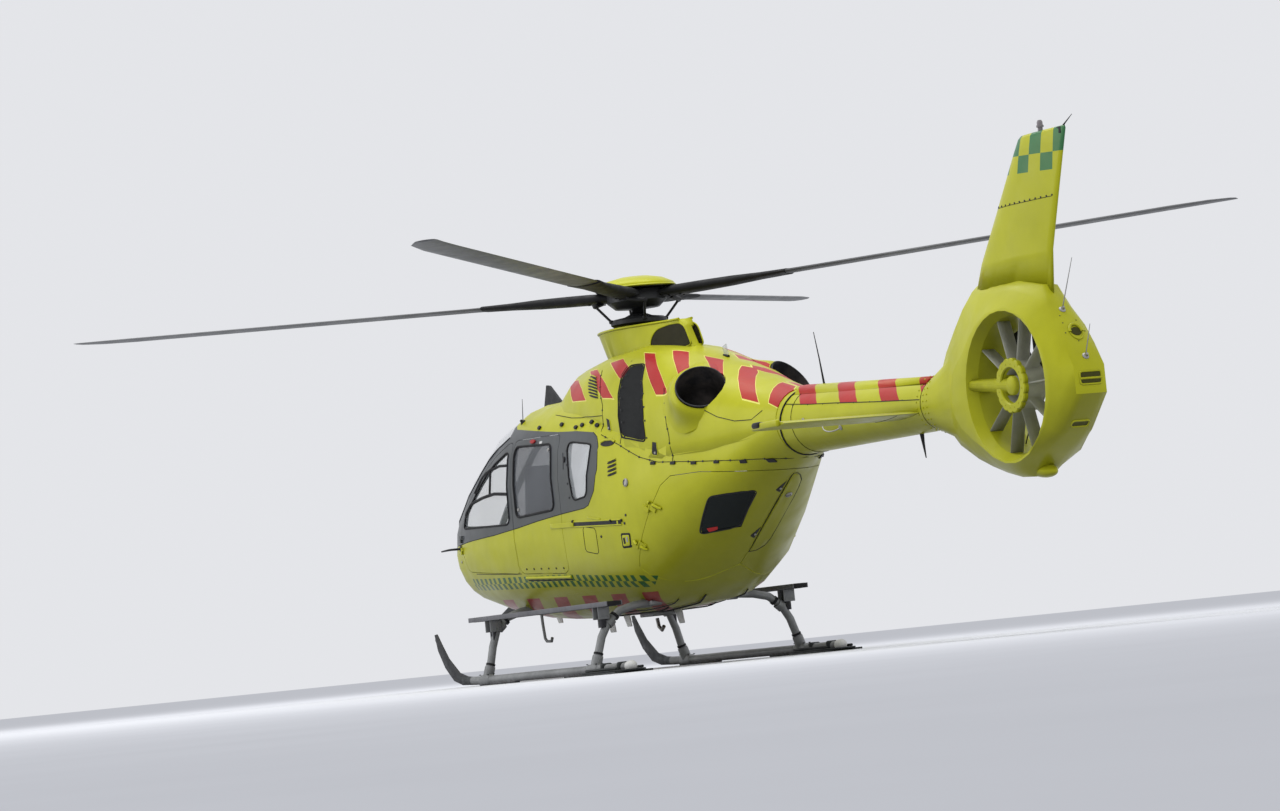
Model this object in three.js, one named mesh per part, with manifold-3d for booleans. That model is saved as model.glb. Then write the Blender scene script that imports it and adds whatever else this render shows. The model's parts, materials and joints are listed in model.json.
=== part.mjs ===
// A light twin-engined rescue helicopter on skids, with a hollow cabin, opening doors,
// a four-blade main rotor and a shrouded tail rotor.
// Millimetres. X is to port, Y aft and Z up from the ground. Lengthwise places are stations, measured aft from the
// nose tip, and the group at the end moves station ORIGIN_STATION to Y = 0.
import * as THREE from "three";
import { mergeVertices } from "three/addons/utils/BufferGeometryUtils.js";
import Module from "manifold-3d";

const wasm = await Module();
wasm.setup();

// Driving dimensions
const ORIGIN_STATION = 4735;
const SKIN = 30; // thickness of the cabin's walls and doors
const COWL_SKIN = 22;
const GLASS = 8;
const DOOR_THICKNESS = 24;
const GAP = 5; // shut line round a door that moves
const REST = 0.3; // clearance between faces that touch
const RING_POINTS = 28;
const INNER_POINTS = 20; // round a section taken in by more than THIN
const THIN = 11;
const GENTLE = 0.75; // radians an outline turns by at a corner that stays plain
const SIMPLE = 0.05; // faces this close to flat are joined
const FLOOR_TOP = 800;
const FLOOR_THICKNESS = 25;
const MAST_STATION = 3160;
const HUB_HEIGHT = 3107; // where the mast's axis meets the blades' plane
const GEARBOX_TOP = 2560;
const TAIL_SKIN = 12;
const FIN_HOLLOW_TOP = 3200;
const CONING = 0.037; // radians
const BLADE_COUNT = 4;
const HUB_RADIUS = 250;
const BLADE_START = THREE.MathUtils.degToRad(45);
const DUCT = { station: 9207, height: 1780, radius: 500, lip: 40, half: 217 };
const SKID = { x: 965, height: 46, radius: 36, bend: 1150, rear: 4300, toe: 580, toeHeight: 450 };
const PAW = { front: 3730, rear: 4350, half: 174, thickness: 16 };
const STEP = { x: 862, width: 140, thickness: 26, height: 557, front: 1220, rear: 3900 };
const BOOM = {
  front: 5830, frontHeight: 1815, frontRadius: 258, rear: 7950, rearHeight: 1757, rearRadius: 195, wall: 5,
};
const FAN = { blades: 10, radius: 488, chord: 70, thickness: 8 };
const STATOR = { vanes: 10, thickness: 12, chord: 105, inner: 28, hub: 187, armEnd: [165, 8640, 1835] };
const EXHAUST = { mouth: [415, 4935, 2203], direction: [0.377, 0.717, 0.586], length: 330, radius: 205 };
const ENGINE = { x: [80, 430], station: [3800, 4600], height: [1500, 2160] };
const COWL_SPLITS = { front: 3560, rear: 4640 };
const STABILISER = { station: 7440, chord: 470, half: 1325, height: 1705, thickness: 60 };

const COLOURS = {
  paint: [0xc8d400, 0.3, 0.1],
  frame_grey: [0x4a4c52, 0.4, 0.1],
  glass: [0x20282c, 0.1, 0.0],
  black: [0x16171a, 0.5, 0.0],
  dark_metal: [0x3c3f42, 0.45, 0.6],
  gear_grey: [0x8f9496, 0.4, 0.3],
  seat: [0x2c3036, 0.9, 0.0],
  blade_grey: [0x55585c, 0.5, 0.0],
};

// Outer form of the pod. The columns are station, half width, bottom, height of the widest point, top, and the
// upper and lower powers, where a power above 2 squares the section's shoulders.
const POD = [
  [0, 60, 1080, 1150, 1215, 2.0, 2.0],
  [30, 225, 965, 1150, 1310, 2.1, 2.1],
  [100, 400, 850, 1150, 1420, 2.2, 2.2],
  [250, 540, 760, 1160, 1555, 2.3, 2.3],
  [500, 645, 670, 1170, 1735, 2.5, 2.4],
  [900, 725, 585, 1180, 2005, 2.8, 2.35],
  [1400, 768, 508, 1190, 2240, 3.1, 2.4],
  [1900, 780, 472, 1200, 2345, 3.3, 2.45],
  [2600, 780, 465, 1200, 2345, 3.4, 2.5],
  [3400, 778, 470, 1210, 2290, 3.3, 2.6],
  [3900, 758, 510, 1235, 2190, 3.0, 2.7],
  [4300, 700, 650, 1300, 2150, 2.7, 2.5],
  [4700, 595, 885, 1400, 2110, 2.4, 2.3],
  [5100, 470, 1155, 1530, 2085, 2.2, 2.2],
  [5500, 350, 1410, 1690, 2080, 2.0, 2.0],
  [5830, 262, 1553, 1815, 2077, 2.0, 2.0],
];
// Outer form of the engine and gearbox cowling, whose lower half lies inside the pod
const COWL = [
  [2120, 260, 2180, 2250, 2330, 2.0, 2.0],
  [2330, 450, 1900, 2120, 2450, 2.4, 2.1],
  [2700, 560, 1750, 2050, 2590, 2.6, 2.1],
  [3200, 615, 1600, 1950, 2650, 2.7, 2.0],
  [3700, 650, 1500, 1850, 2665, 2.6, 2.0],
  [4200, 650, 1400, 1790, 2582, 2.4, 2.0],
  [4600, 605, 1400, 1770, 2464, 2.3, 2.0],
  [5000, 505, 1430, 1775, 2339, 2.2, 2.0],
  [5400, 385, 1490, 1790, 2202, 2.1, 2.0],
  [5830, 262, 1553, 1815, 2082, 2.0, 2.0],
];
const COLLAR = {
  foot: { height: 2400, front: 2820, rear: 4270, half: 250 },
  rim: { height: 2830, front: 2640, rear: 3995, half: 305 },
  widest: 0.44, tail: 0.2, points: 30, skin: 14,
};
// Door hinges: the axis ends as [x, station, height], and each hinge's place along it
const FRONT_HINGE = {
  foot: [690, 684, 1165], top: [690, 684, 1305], outward: [1, -0.2, 0], radius: 9, knuckle: 30, reach: 42, depth: 24,
  places: [0.12, 0.85],
};
const REAR_HINGE = {
  foot: [715, 4070, 905], top: [692, 4440, 1385], outward: [1, 0.32, -0.24], radius: 10, knuckle: 36, reach: 70, depth: 34,
  places: [0.22, 0.8],
};
const RUNNER = { front: 2350, rear: 2550, top: 900 };
const SHAFT_COVER = [
  [5850, 70, 1880, 1950, 2060, 2.4, 2.0],
  [5960, 150, 1850, 1930, 2095, 3.0, 2.2],
  [6900, 143, 1800, 1880, 2034, 3.0, 2.2],
  [7940, 135, 1740, 1820, 1968, 3.0, 2.2],
];
// Front of the shroud, where it grows out of the boom, as body rows
const NECK = [
  [7950, 195, 1562, 1757, 1952, 2.0, 2.0],
  [8150, 192, 1490, 1760, 2050, 2.0, 2.0],
  [8380, 180, 1400, 1780, 2180, 2.0, 2.0],
  [8700, 120, 1350, 1780, 2200, 2.0, 2.0],
];
// Side outline of the shroud: station, height, how far its bevel runs in, and half the width of its edge
const SHROUD = [
  [8060, 1550, 420, 20], [8010, 1700, 450, 20], [8015, 1860, 450, 20], [8055, 2020, 450, 20], [8130, 2130, 450, 20],
  [8280, 2290, 450, 20], [8440, 2440, 430, 20], [8610, 2557, 410, 20], [8950, 2560, 260, 40], [9300, 2530, 230, 40],
  [9600, 2460, 240, 45], [9680, 2320, 240, 70], [9820, 2150, 260, 100], [9910, 2005, 280, 112], [10007, 1840, 300, 115],
  [10007, 1640, 300, 115], [9750, 1390, 200, 112], [9450, 1245, 100, 100], [9320, 1170, 110, 80], [9240, 1115, 130, 60],
  [9080, 1125, 130, 60], [8880, 1172, 150, 60], [8680, 1235, 190, 60], [8500, 1303, 240, 60], [8250, 1420, 320, 45],
];
const BEVEL_NOSE = 0.22; // how soon the bevel reaches its slope
// Fin sections as [height, front, rear, thickness]
const FIN = [
  [2380, 8560, 9640, 190],
  [2700, 8740, 9690, 170],
  [3100, 9060, 9850, 135],
  [3430, 9320, 9985, 105],
  [3520, 9395, 10022, 90],
  [3540, 9430, 10015, 60],
];
// Blade sections as [radius, half width, thickness, offset]
const BLADE = [
  [120, 90, 70, 0],
  [420, 75, 75, 0],
  [800, 80, 70, 0],
  [1150, 100, 45, 0],
  [1450, 144, 36, 0],
  [4600, 144, 32, 0],
  [4900, 130, 26, 20],
  [5060, 90, 16, 70],
  [5098, 60, 8, 95],
];
const CAP = [[0, 3160], [200, 3160], [325, 3165], [335, 3180], [320, 3205], [240, 3245], [130, 3268], [0, 3275]];
// Side outlines, as [station, height]
const DECK_LINE = [[3400, 2020], [4350, 1700], [5000, 1600], [5830, 1530]];
const WINDSCREEN = [[40, 1395], [420, 1420], [800, 1590], [1200, 1835], [1560, 2010], [1790, 2085], [1790, 2500], [40, 2500]];
const FRONT_DOOR = [[800, 995], [700, 1150], [690, 1345], [830, 1520], [1215, 1765], [1580, 1945], [1830, 2020],
  [1945, 2035], [1962, 1290], [1962, 912]];
const FRONT_WINDOW = [[790, 1370], [880, 1490], [1235, 1705], [1590, 1880], [1820, 1950], [1890, 1940], [1900, 1385], [1860, 1340]];
const SLIDING_DOOR = [[1978, 912], [1978, 2040], [2868, 2020], [2912, 1390], [2912, 960], [2880, 890], [2800, 868]];
const SLIDING_WINDOW = [[2045, 1420], [2010, 1960], [2050, 1985], [2680, 1955], [2745, 1920], [2790, 1450], [2760, 1400], [2080, 1385]];
const SIDE_WINDOW = [[3080, 1940], [3470, 1890], [3480, 1850], [3415, 1500], [3380, 1465], [3190, 1450], [3150, 1480], [3050, 1900]];
const REAR_DOORS = [[4030, 835], [4130, 975], [4400, 1330], [4500, 1460], [4620, 1525], [4950, 1525], [5560, 1465],
  [5900, 1440], [5900, 500], [4030, 500]];
// The rear doors' foot in plan: its station on the middle line, and how far it runs forward for each unit outwards
const REAR_FOOT = { middle: 4520, forward: 0.743 };
const REAR_WINDOW = [[4718, 1037], [4991, 1320], [5312, 1333], [4934, 1063]];
const INTAKE = [[3915, 1915], [3860, 2190], [3815, 2360], [3830, 2480], [4030, 2475], [4205, 2240], [4270, 2040], [4300, 1840]];
const CUTTER_UPPER = [[1230, 2090], [1200, 2330], [1290, 2540], [1350, 2530], [1570, 2360], [1720, 2270]];
const CUTTER_LOWER = [[480, 700], [300, 745], [-85, 610], [-60, 585], [300, 640], [560, 600]];
const COLLAR_VENT = [[3840, 2650], [3900, 2720], [4040, 2770], [4100, 2755], [4180, 2610], [3900, 2600]];
const NOSE_SPLIT = 640;
const BELLY_SPLIT = 690;

// A solid of any closed geometry
function solid(geometry) {
  geometry.deleteAttribute("normal");
  geometry.deleteAttribute("uv");
  const merged = mergeVertices(geometry, 1e-3);
  return new wasm.Manifold(new wasm.Mesh({
    numProp: 3,
    vertProperties: Float32Array.from(merged.attributes.position.array),
    triVerts: Uint32Array.from(merged.index.array),
  }));
}

const group = new THREE.Group();
group.position.y = -ORIGIN_STATION;

// Adds a solid to the model as a named mesh
function add(name, body, colour) {
  const m = body.simplify(SIMPLE).getMesh();
  const geometry = new THREE.BufferGeometry();
  const place = new Float32Array(m.numVert * 3);
  for (let i = 0; i < m.numVert; i++) place.set(m.vertProperties.subarray(i * m.numProp, i * m.numProp + 3), i * 3);
  geometry.setAttribute("position", new THREE.BufferAttribute(place, 3));
  geometry.setIndex(new THREE.BufferAttribute(m.triVerts, 1));
  geometry.computeVertexNormals();
  const [hex, roughness, metalness] = COLOURS[colour];
  const mesh = new THREE.Mesh(geometry, new THREE.MeshStandardMaterial({ color: hex, roughness, metalness }));
  mesh.name = name;
  group.add(mesh);
}

// A solid through rings of points, with a flat cap at each end. Its faces are split alike on both sides.
function loft(rings) {
  const count = rings[0].length;
  const points = rings.flat();
  const faces = [];
  for (let r = 0; r + 1 < rings.length; r++)
    for (let i = 0; i < count; i++) {
      const a = r * count + i;
      const b = r * count + ((i + 1) % count);
      const toStarboard = points[a].x + points[b].x < 0;
      if (toStarboard) faces.push(a, b, a + count, b, b + count, a + count);
      else faces.push(a, b, b + count, a, b + count, a + count);
    }
  for (const [r, turned] of [[0, true], [rings.length - 1, false]]) {
    const middle = rings[r].reduce((sum, p) => sum.add(p), new THREE.Vector3()).divideScalar(count);
    points.push(middle);
    for (let i = 0; i < count; i++) {
      const a = r * count + i;
      const b = r * count + ((i + 1) % count);
      faces.push(points.length - 1, ...(turned ? [b, a] : [a, b]));
    }
  }
  const geometry = new THREE.BufferGeometry().setFromPoints(points);
  geometry.setIndex(faces);
  const made = solid(geometry);
  if (made.volume() > 0) return made;
  geometry.setIndex(faces.reverse());
  return solid(geometry);
}

// A rounded section of the pod or cowling, taken in by inset all round
function bodyRing(row, inset, station = row[0]) {
  const [, half, bottom, widest, top, upper, lower] = row;
  const ring = [];
  const count = inset > THIN ? INNER_POINTS : RING_POINTS;
  for (let i = 0; i < count; i++) {
    const angle = (i / count) * Math.PI * 2;
    const c = Math.cos(angle);
    const s = Math.sin(angle);
    const power = 2 / (s >= 0 ? upper : lower);
    const rise = s >= 0 ? top - widest - inset : widest - bottom - inset;
    ring.push(new THREE.Vector3(
      Math.sign(c) * Math.abs(c) ** power * Math.max(half - inset, 8),
      station,
      widest + Math.sign(s) * Math.abs(s) ** power * Math.max(rise, 8)));
  }
  return ring;
}

// A smooth body through a table's rows, with extra rings between them
function body(table, inset, between = 0) {
  const width = table[0].length;
  const curve = new THREE.CubicInterpolant(table.map((row) => row[0]), table.flat(), width);
  const stations = [];
  table.forEach(([station], i) => {
    stations.push(station);
    const next = table[i + 1];
    if (next && next[0] - station > 150)
      for (let k = 1; k <= between; k++) stations.push(station + ((next[0] - station) * k) / (between + 1));
  });
  const first = table[0][0];
  return loft(stations.map((station) => {
    const row = Array.from(curve.evaluate(station));
    return bodyRing(row, inset, station === first ? station + inset : station);
  }).filter((ring, i, all) => i === 0 || ring[0].y > all[0][0].y));
}

// A side outline pushed through the body from x0 to x1
function prism(outline, x0, x1) {
  const shape = new THREE.Shape(outline.map(([station, height]) => new THREE.Vector2(station, height)));
  const made = new THREE.ExtrudeGeometry(shape, { depth: x1 - x0, bevelEnabled: false });
  made.applyMatrix4(new THREE.Matrix4().set(0, 0, 1, x0, 1, 0, 0, 0, 0, 1, 0, 0, 0, 0, 0, 1));
  return solid(made);
}

// The same outline with its corners moved out or in by a distance
function grown(outline, distance) {
  const area = outline.reduce((sum, [x, y], i) => {
    const [u, v] = outline[(i + 1) % outline.length];
    return sum + x * v - u * y;
  }, 0);
  const side = Math.sign(area);
  return outline.map((p, i) => {
    const before = outline[(i + outline.length - 1) % outline.length];
    const after = outline[(i + 1) % outline.length];
    const d1 = new THREE.Vector2(p[0] - before[0], p[1] - before[1]).normalize();
    const d2 = new THREE.Vector2(after[0] - p[0], after[1] - p[1]).normalize();
    const n = new THREE.Vector2(d1.y + d2.y, -d1.x - d2.x).normalize();
    const along = Math.max(n.x * d1.y - n.y * d1.x, 0.4);
    return [p[0] + (side * n.x * distance) / along, p[1] + (side * n.y * distance) / along];
  });
}

// The same outline with each sharp corner cut to a short arc
function rounded(outline, radius, steps = 2) {
  return outline.flatMap((p, i) => {
    const corner = new THREE.Vector2(...p);
    const before = corner.clone().sub(new THREE.Vector2(...outline[(i + outline.length - 1) % outline.length]));
    const after = new THREE.Vector2(...outline[(i + 1) % outline.length]).sub(corner);
    if (Math.acos(before.dot(after) / before.length() / after.length()) < GENTLE) return [p];
    const toward = (q) => {
      const d = new THREE.Vector2(...q).sub(corner);
      return corner.clone().addScaledVector(d.clone().normalize(), Math.min(radius, d.length() * 0.45));
    };
    const arc = new THREE.QuadraticBezierCurve(
      toward(outline[(i + outline.length - 1) % outline.length]), corner, toward(outline[(i + 1) % outline.length]));
    return arc.getPoints(steps).map((q) => [q.x, q.y]);
  });
}

function box(x0, x1, y0, y1, z0, z1) {
  return solid(new THREE.BoxGeometry(x1 - x0, y1 - y0, z1 - z0)
    .translate((x0 + x1) / 2, (y0 + y1) / 2, (z0 + z1) / 2));
}

// A round bar between two points, with its own radius at each end
function bar(from, to, r0, r1 = r0, sides = 12) {
  const a = new THREE.Vector3(...from);
  const b = new THREE.Vector3(...to);
  const made = new THREE.CylinderGeometry(r1, r0, a.distanceTo(b), sides);
  made.applyQuaternion(new THREE.Quaternion().setFromUnitVectors(
    new THREE.Vector3(0, 1, 0), b.clone().sub(a).normalize()));
  made.translate((a.x + b.x) / 2, (a.y + b.y) / 2, (a.z + b.z) / 2);
  return solid(made);
}

// A tube bent along points
function bent(points, radius, steps, sides = 12) {
  const curve = new THREE.CatmullRomCurve3(points.map((p) => new THREE.Vector3(...p)), false, "centripetal");
  const section = new THREE.Shape(Array.from({ length: sides }, (_, i) => {
    const angle = (i / sides) * Math.PI * 2;
    return new THREE.Vector2(radius * Math.cos(angle), radius * Math.sin(angle));
  }));
  return solid(new THREE.ExtrudeGeometry(section, { steps, extrudePath: curve, bevelEnabled: false }));
}

// A turned body about X through the tail rotor's centre. The profile is [radius, x].
function turnedAboutDuct(profile, segments) {
  const made = new THREE.LatheGeometry(profile.map(([r, x]) => new THREE.Vector2(r, x)), segments);
  made.rotateZ(-Math.PI / 2);
  made.translate(0, DUCT.station, DUCT.height);
  const out = solid(made);
  if (out.volume() > 0) return out;
  throw new Error("a turned profile runs the wrong way");
}

// The collar round the mast, a teardrop that flares upwards, taken in by inset
function collar(inset, below = 0) {
  const ring = ({ height, front, rear, half }, drop) => {
    const points = [];
    for (let i = 0; i < COLLAR.points; i++) {
      const angle = ((i + 0.5) / COLLAR.points) * Math.PI * 2;
      const u = (1 - Math.cos(angle)) / 2;
      const bulge = u < COLLAR.widest ? Math.sqrt(1 - ((COLLAR.widest - u) / COLLAR.widest) ** 2)
        : THREE.MathUtils.lerp(COLLAR.tail, 1, (1 + Math.cos((Math.PI * (u - COLLAR.widest)) / (1 - COLLAR.widest))) / 2);
      const station = front + inset + (rear - front - 2 * inset) * u;
      points.push(new THREE.Vector3(Math.sign(Math.sin(angle)) * (half * bulge - inset * Math.min(1, bulge * 1.6)), station, height + drop));
    }
    return points;
  };
  return loft([ring(COLLAR.foot, -below), ring(COLLAR.rim, below)]);
}

const biggest = (b) => b.decompose().sort((p, q) => q.volume() - p.volume())[0];
const join = (...bodies) => bodies.reduce((a, b) => a.add(b));
const mirrored = (b) => b.mirror([1, 0, 0]);
const SIDES = [["left", 1], ["right", -1]];
const onSide = (b, side) => (side > 0 ? b : mirrored(b));

// The pod and the cowling, as whole solids
const pod = body(POD, 0);
const podInside = body(POD, SKIN);
const cowl = body(COWL, 0);
const cowlInside = body(COWL, COWL_SKIN);
const whole = pod.add(cowl);

const deck = (drop) => DECK_LINE.map(([station, height]) => [station - drop, height - drop]);
const belowDeck = prism([[-200, 0], [6100, 0], [6100, 1530], ...deck(0).reverse(), [3400, 3200], [-200, 3200]], -1200, 1200);
const insideDeck = prism([[-200, 0], [5700, 0], [5700, 1530 - SKIN], ...deck(SKIN).reverse(), [3400 - SKIN, 3200], [-200, 3200]], -1200, 1200);
const lower = pod.intersect(belowDeck);
const lowerInside = podInside.intersect(insideDeck);
const shell = lower.subtract(lowerInside);
// A layer of the wall that is a door's or a window's thickness, from depth in under the skin
const layer = (from, to) => (from ? body(POD, from) : pod).subtract(body(POD, to));

// The shell with its doorways and windows cut. A door's hole is a shut line wider than the door.
let structure = shell;
const openings = [
  [rounded(FRONT_DOOR, 60), GAP], [rounded(SLIDING_DOOR, 60), GAP], [rounded(SIDE_WINDOW, 60), 0],
];
for (const [outline, gap] of openings) {
  const hole = prism(grown(outline, gap), 200, 1200);
  structure = structure.subtract(hole).subtract(mirrored(hole));
}

// Windscreens on each side of a centre post
const POST = 28;
const screen = rounded(WINDSCREEN, 30, 2);
const screenHole = prism(screen, POST, 1200);
structure = structure.subtract(screenHole).subtract(mirrored(screenHole));

// Rear doors
function aftOfFoot(shift) {
  const at = (x) => new THREE.Vector2(x, REAR_FOOT.middle - Math.abs(x) * REAR_FOOT.forward - shift);
  const shape = new THREE.Shape([at(-1200), at(0), at(1200), new THREE.Vector2(1200, 6200), new THREE.Vector2(-1200, 6200)]);
  return solid(new THREE.ExtrudeGeometry(shape, { depth: 3000, bevelEnabled: false }));
}
const rearHole = prism(grown(REAR_DOORS, GAP), -1200, 1200).intersect(aftOfFoot(GAP * 1.25));
structure = structure.subtract(rearHole.subtract(prism([[5500, 1500], [6000, 1500], [6000, 1700], [5500, 1700]], -1200, 1200)));

// The nose below the windscreens and the shell under the floor are panels of their own
const noseRegion = box(-1200, 1200, -100, NOSE_SPLIT, 0, 1392).subtract(prism(grown(rounded(FRONT_DOOR, 60), 30), -1200, 1200));
const bellyRegion = box(-1200, 1200, NOSE_SPLIT, 4000, 0, BELLY_SPLIT);
const noseShell = structure.intersect(noseRegion);
const bellyShell = structure.intersect(bellyRegion);
structure = structure
  .subtract(box(-1200, 1200, -100, NOSE_SPLIT + REST, 0, 1392 + REST).subtract(prism(grown(rounded(FRONT_DOOR, 60), 30 - REST), -1200, 1200)))
  .subtract(box(-1200, 1200, NOSE_SPLIT - 1, 4000 + REST, 0, BELLY_SPLIT + REST));

// External door hinges: knuckles on one straight axis, each with a leaf let into the door or the wall
function hinges({ top, foot, outward, radius, knuckle, reach, depth, places }) {
  const a = new THREE.Vector3(...foot);
  const b = new THREE.Vector3(...top);
  const along = b.clone().sub(a).normalize();
  const aft = new THREE.Vector3().crossVectors(along, new THREE.Vector3(...outward)).normalize();
  const out = new THREE.Vector3().crossVectors(aft, along).normalize();
  const half = (place, sign) => {
    const low = sign > 0 ? REST / 2 : -knuckle;
    const high = sign > 0 ? knuckle : -REST / 2;
    const centre = a.clone().lerp(b, place);
    const onAxis = (distance) => centre.clone().addScaledVector(along, distance).toArray();
    const plateFrom = (x0, x1, y0, y1) => {
      const plate = new THREE.BoxGeometry(x1 - x0, y1 - y0, high - low);
      const middle = centre.clone().addScaledVector(along, (low + high) / 2)
        .addScaledVector(out, (x0 + x1) / 2).addScaledVector(aft, (sign * (y0 + y1)) / 2);
      plate.applyMatrix4(new THREE.Matrix4().makeBasis(out, aft, along).setPosition(middle));
      return solid(plate);
    };
    const strap = plateFrom(-radius / 2, radius / 2, 0, reach);
    const toe = plateFrom(-depth, 0, reach * 0.5, reach);
    return join(bar(onAxis(low), onAxis(high), radius, radius, 8), strap, toe);
  };
  const room = join(...places.map((place) => {
    const centre = a.clone().lerp(b, place);
    const end = (sign) => centre.clone().addScaledVector(along, sign * (knuckle + 4)).toArray();
    return bar(end(-1), end(1), radius + 4, radius + 4, 6);
  }));
  return {
    moving: join(...places.map((place) => half(place, 1))),
    fixed: join(...places.map((place) => half(place, -1))),
    room,
  };
}
const crossTube = (station, height, grow = 0) => bent([
  [-SKID.x, station, 40], [-0.945 * SKID.x, station, 200], [-0.87 * SKID.x, station, height - 165],
  [-0.73 * SKID.x, station, height - 45], [-0.5 * SKID.x, station, height], [0, station, height],
  [0.5 * SKID.x, station, height], [0.73 * SKID.x, station, height - 45], [0.87 * SKID.x, station, height - 165],
  [0.945 * SKID.x, station, 200], [SKID.x, station, 40]], 34 + grow, 18, 10);
const CROSS_TUBES = [["front", 1552, 612], ["rear", 3650, 545]];

let belly = bellyShell;
for (const [, station, height] of CROSS_TUBES) belly = belly.subtract(crossTube(station, height, REST));

const frontHinges = hinges(FRONT_HINGE);
const rearHinges = hinges(REAR_HINGE);
for (const { fixed, room } of [frontHinges, rearHinges])
  structure = structure.subtract(room).subtract(mirrored(room)).add(fixed).add(mirrored(fixed));
add("cabin_structure", biggest(structure), "paint");
add("nose_shell", biggest(noseShell), "paint");
add("belly_shell", biggest(belly), "paint");

// Rear doors, windscreens and side doors, each cut from the wall it closes
const doorLayer = layer(0, DOOR_THICKNESS);
const glassLayer = layer(3, 3 + GLASS);
const hollowDoor = (outline, windowOutline) =>
  doorLayer.intersect(prism(rounded(outline, 60), 200, 1200)).subtract(prism(rounded(windowOutline, 50), 200, 1200));
const pane = (outline, x0) => biggest(glassLayer.intersect(prism(grown(outline, -REST), x0, 1200)));
const rearLeaf = doorLayer.intersect(prism(REAR_DOORS, GAP / 2, 1200)).intersect(aftOfFoot(0));
const rearWindow = rounded(REAR_WINDOW, 40); // in the port rear door only
// The sliding door's foot runs on its sill
const sillAt = (station) => {
  const [front, rear] = [SLIDING_DOOR[0], SLIDING_DOOR[6]];
  return THREE.MathUtils.mapLinear(station, front[0], rear[0], front[1], rear[1]) - GAP + REST;
};
const runnerLine = [[RUNNER.front, sillAt(RUNNER.front)], [RUNNER.rear, sillAt(RUNNER.rear)], [RUNNER.rear, RUNNER.top], [RUNNER.front, RUNNER.top]];
const runner = layer(6, 18).intersect(prism(runnerLine, 200, 1200));
for (const [side, sign] of SIDES) {
  add(`windscreen_${side}`, onSide(pane(screen, POST + REST), sign), "glass");
  add(`front_door_${side}`, onSide(biggest(hollowDoor(FRONT_DOOR, FRONT_WINDOW).subtract(frontHinges.room).add(frontHinges.moving)), sign), "paint");
  add(`front_door_glass_${side}`, onSide(pane(rounded(FRONT_WINDOW, 50), 200), sign), "glass");
  add(`sliding_door_${side}`, onSide(biggest(hollowDoor(SLIDING_DOOR, SLIDING_WINDOW).add(runner)), sign), "paint");
  add(`sliding_door_glass_${side}`, onSide(pane(rounded(SLIDING_WINDOW, 50), 200), sign), "glass");
  add(`side_window_${side}`, onSide(pane(rounded(SIDE_WINDOW, 60), 200), sign), "glass");
  const leaf = sign > 0 ? rearLeaf.subtract(prism(rearWindow, 100, 1200)) : rearLeaf;
  add(`rear_door_${side}`, onSide(biggest(leaf.subtract(rearHinges.room).add(rearHinges.moving)), sign), "paint");
}
add("rear_door_glass_left", pane(rearWindow, 100), "glass");

// Cabin inside
const within = body(POD, SKIN + REST);
add("cabin_floor", biggest(within.intersect(box(-1200, 1200, 420, 3960, FLOOR_TOP - FLOOR_THICKNESS, FLOOR_TOP))
  .subtract(prism(grown(REAR_DOORS, 12), -1200, 1200))), "dark_metal");
const dash = [[560, 800], [600, 1180], [700, 1290], [900, 1270], [930, 1190], [820, 1120], [800, 800]].map(([s, z]) => [s, z + REST]);
add("instrument_panel", prism(dash, -330, 330).intersect(body(POD, SKIN + 20)), "black");
function seat(x, station, width) {
  const side = [[0, 0], [60, 330], [20, 350], [30, 420], [430, 400], [560, 1030], [650, 1020], [520, 330], [440, 320], [460, 0]];
  return prism(rounded(side.map(([s, z]) => [station + s, FLOOR_TOP + REST + z]), 30, 2), x - width / 2, x + width / 2);
}
for (const [side, sign] of SIDES) add(`crew_seat_${side}`, seat(sign * 370, 1270, 430), "seat");
const stretcher = join(
  box(-470, 10, 2150, 3950, FLOOR_TOP + 180, FLOOR_TOP + 260),
  box(-400, -340, 2250, 2310, FLOOR_TOP + REST, FLOOR_TOP + 200),
  box(-120, -60, 2250, 2310, FLOOR_TOP + REST, FLOOR_TOP + 200),
  box(-400, -340, 3600, 3660, FLOOR_TOP + REST, FLOOR_TOP + 200),
  box(-120, -60, 3600, 3660, FLOOR_TOP + REST, FLOOR_TOP + 200));
add("stretcher", stretcher, "seat");

// Engine and gearbox cowling: everything of the outer form above the deck line
const podGrown = body(POD, -REST);
const deckTop = deck(0).map(([station, height]) => [station, height + REST]);
const aboveDeck = prism([...deckTop, [6000, 1530 + REST], [6000, 3200], [3400 + REST, 3200]], -1200, 1200);
const upperOuter = whole.intersect(aboveDeck).add(cowl.subtract(podGrown));
const upperInside = body(POD, COWL_SKIN).add(cowlInside).intersect(aboveDeck).add(cowlInside);
let cowlings = upperOuter.subtract(upperInside);
const intake = rounded(INTAKE, 40);
const intakeHole = prism(intake, 200, 1200);
cowlings = cowlings.subtract(intakeHole).subtract(mirrored(intakeHole));
const exhaustAxis = new THREE.Vector3(...EXHAUST.direction).normalize();
const alongExhaust = (distance) => {
  const p = new THREE.Vector3(...EXHAUST.mouth).addScaledVector(exhaustAxis, -distance);
  return [p.x, p.y, p.z];
};
const exhaustHole = bar(alongExhaust(-100), alongExhaust(EXHAUST.length + 40), EXHAUST.radius + REST, undefined, 18);
cowlings = cowlings.subtract(exhaustHole).subtract(mirrored(exhaustHole));
const mastHole = bar([0, MAST_STATION, 2300], [0, MAST_STATION, 2900], 190, 190, 24);
cowlings = cowlings.subtract(mastHole);
const slice = (from, to, x0 = -1200, x1 = 1200) => box(x0, x1, from, to - REST, 0, 3300);
add("cowling_front", biggest(cowlings.intersect(slice(2000, COWL_SPLITS.front))), "paint");
for (const [side, sign] of SIDES)
  add(`cowling_${side}`, biggest(onSide(cowlings.intersect(slice(COWL_SPLITS.front, COWL_SPLITS.rear, REST / 2)), sign)), "paint");
add("cowling_rear", biggest(cowlings.intersect(slice(COWL_SPLITS.rear, BOOM.front))), "paint");
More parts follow.
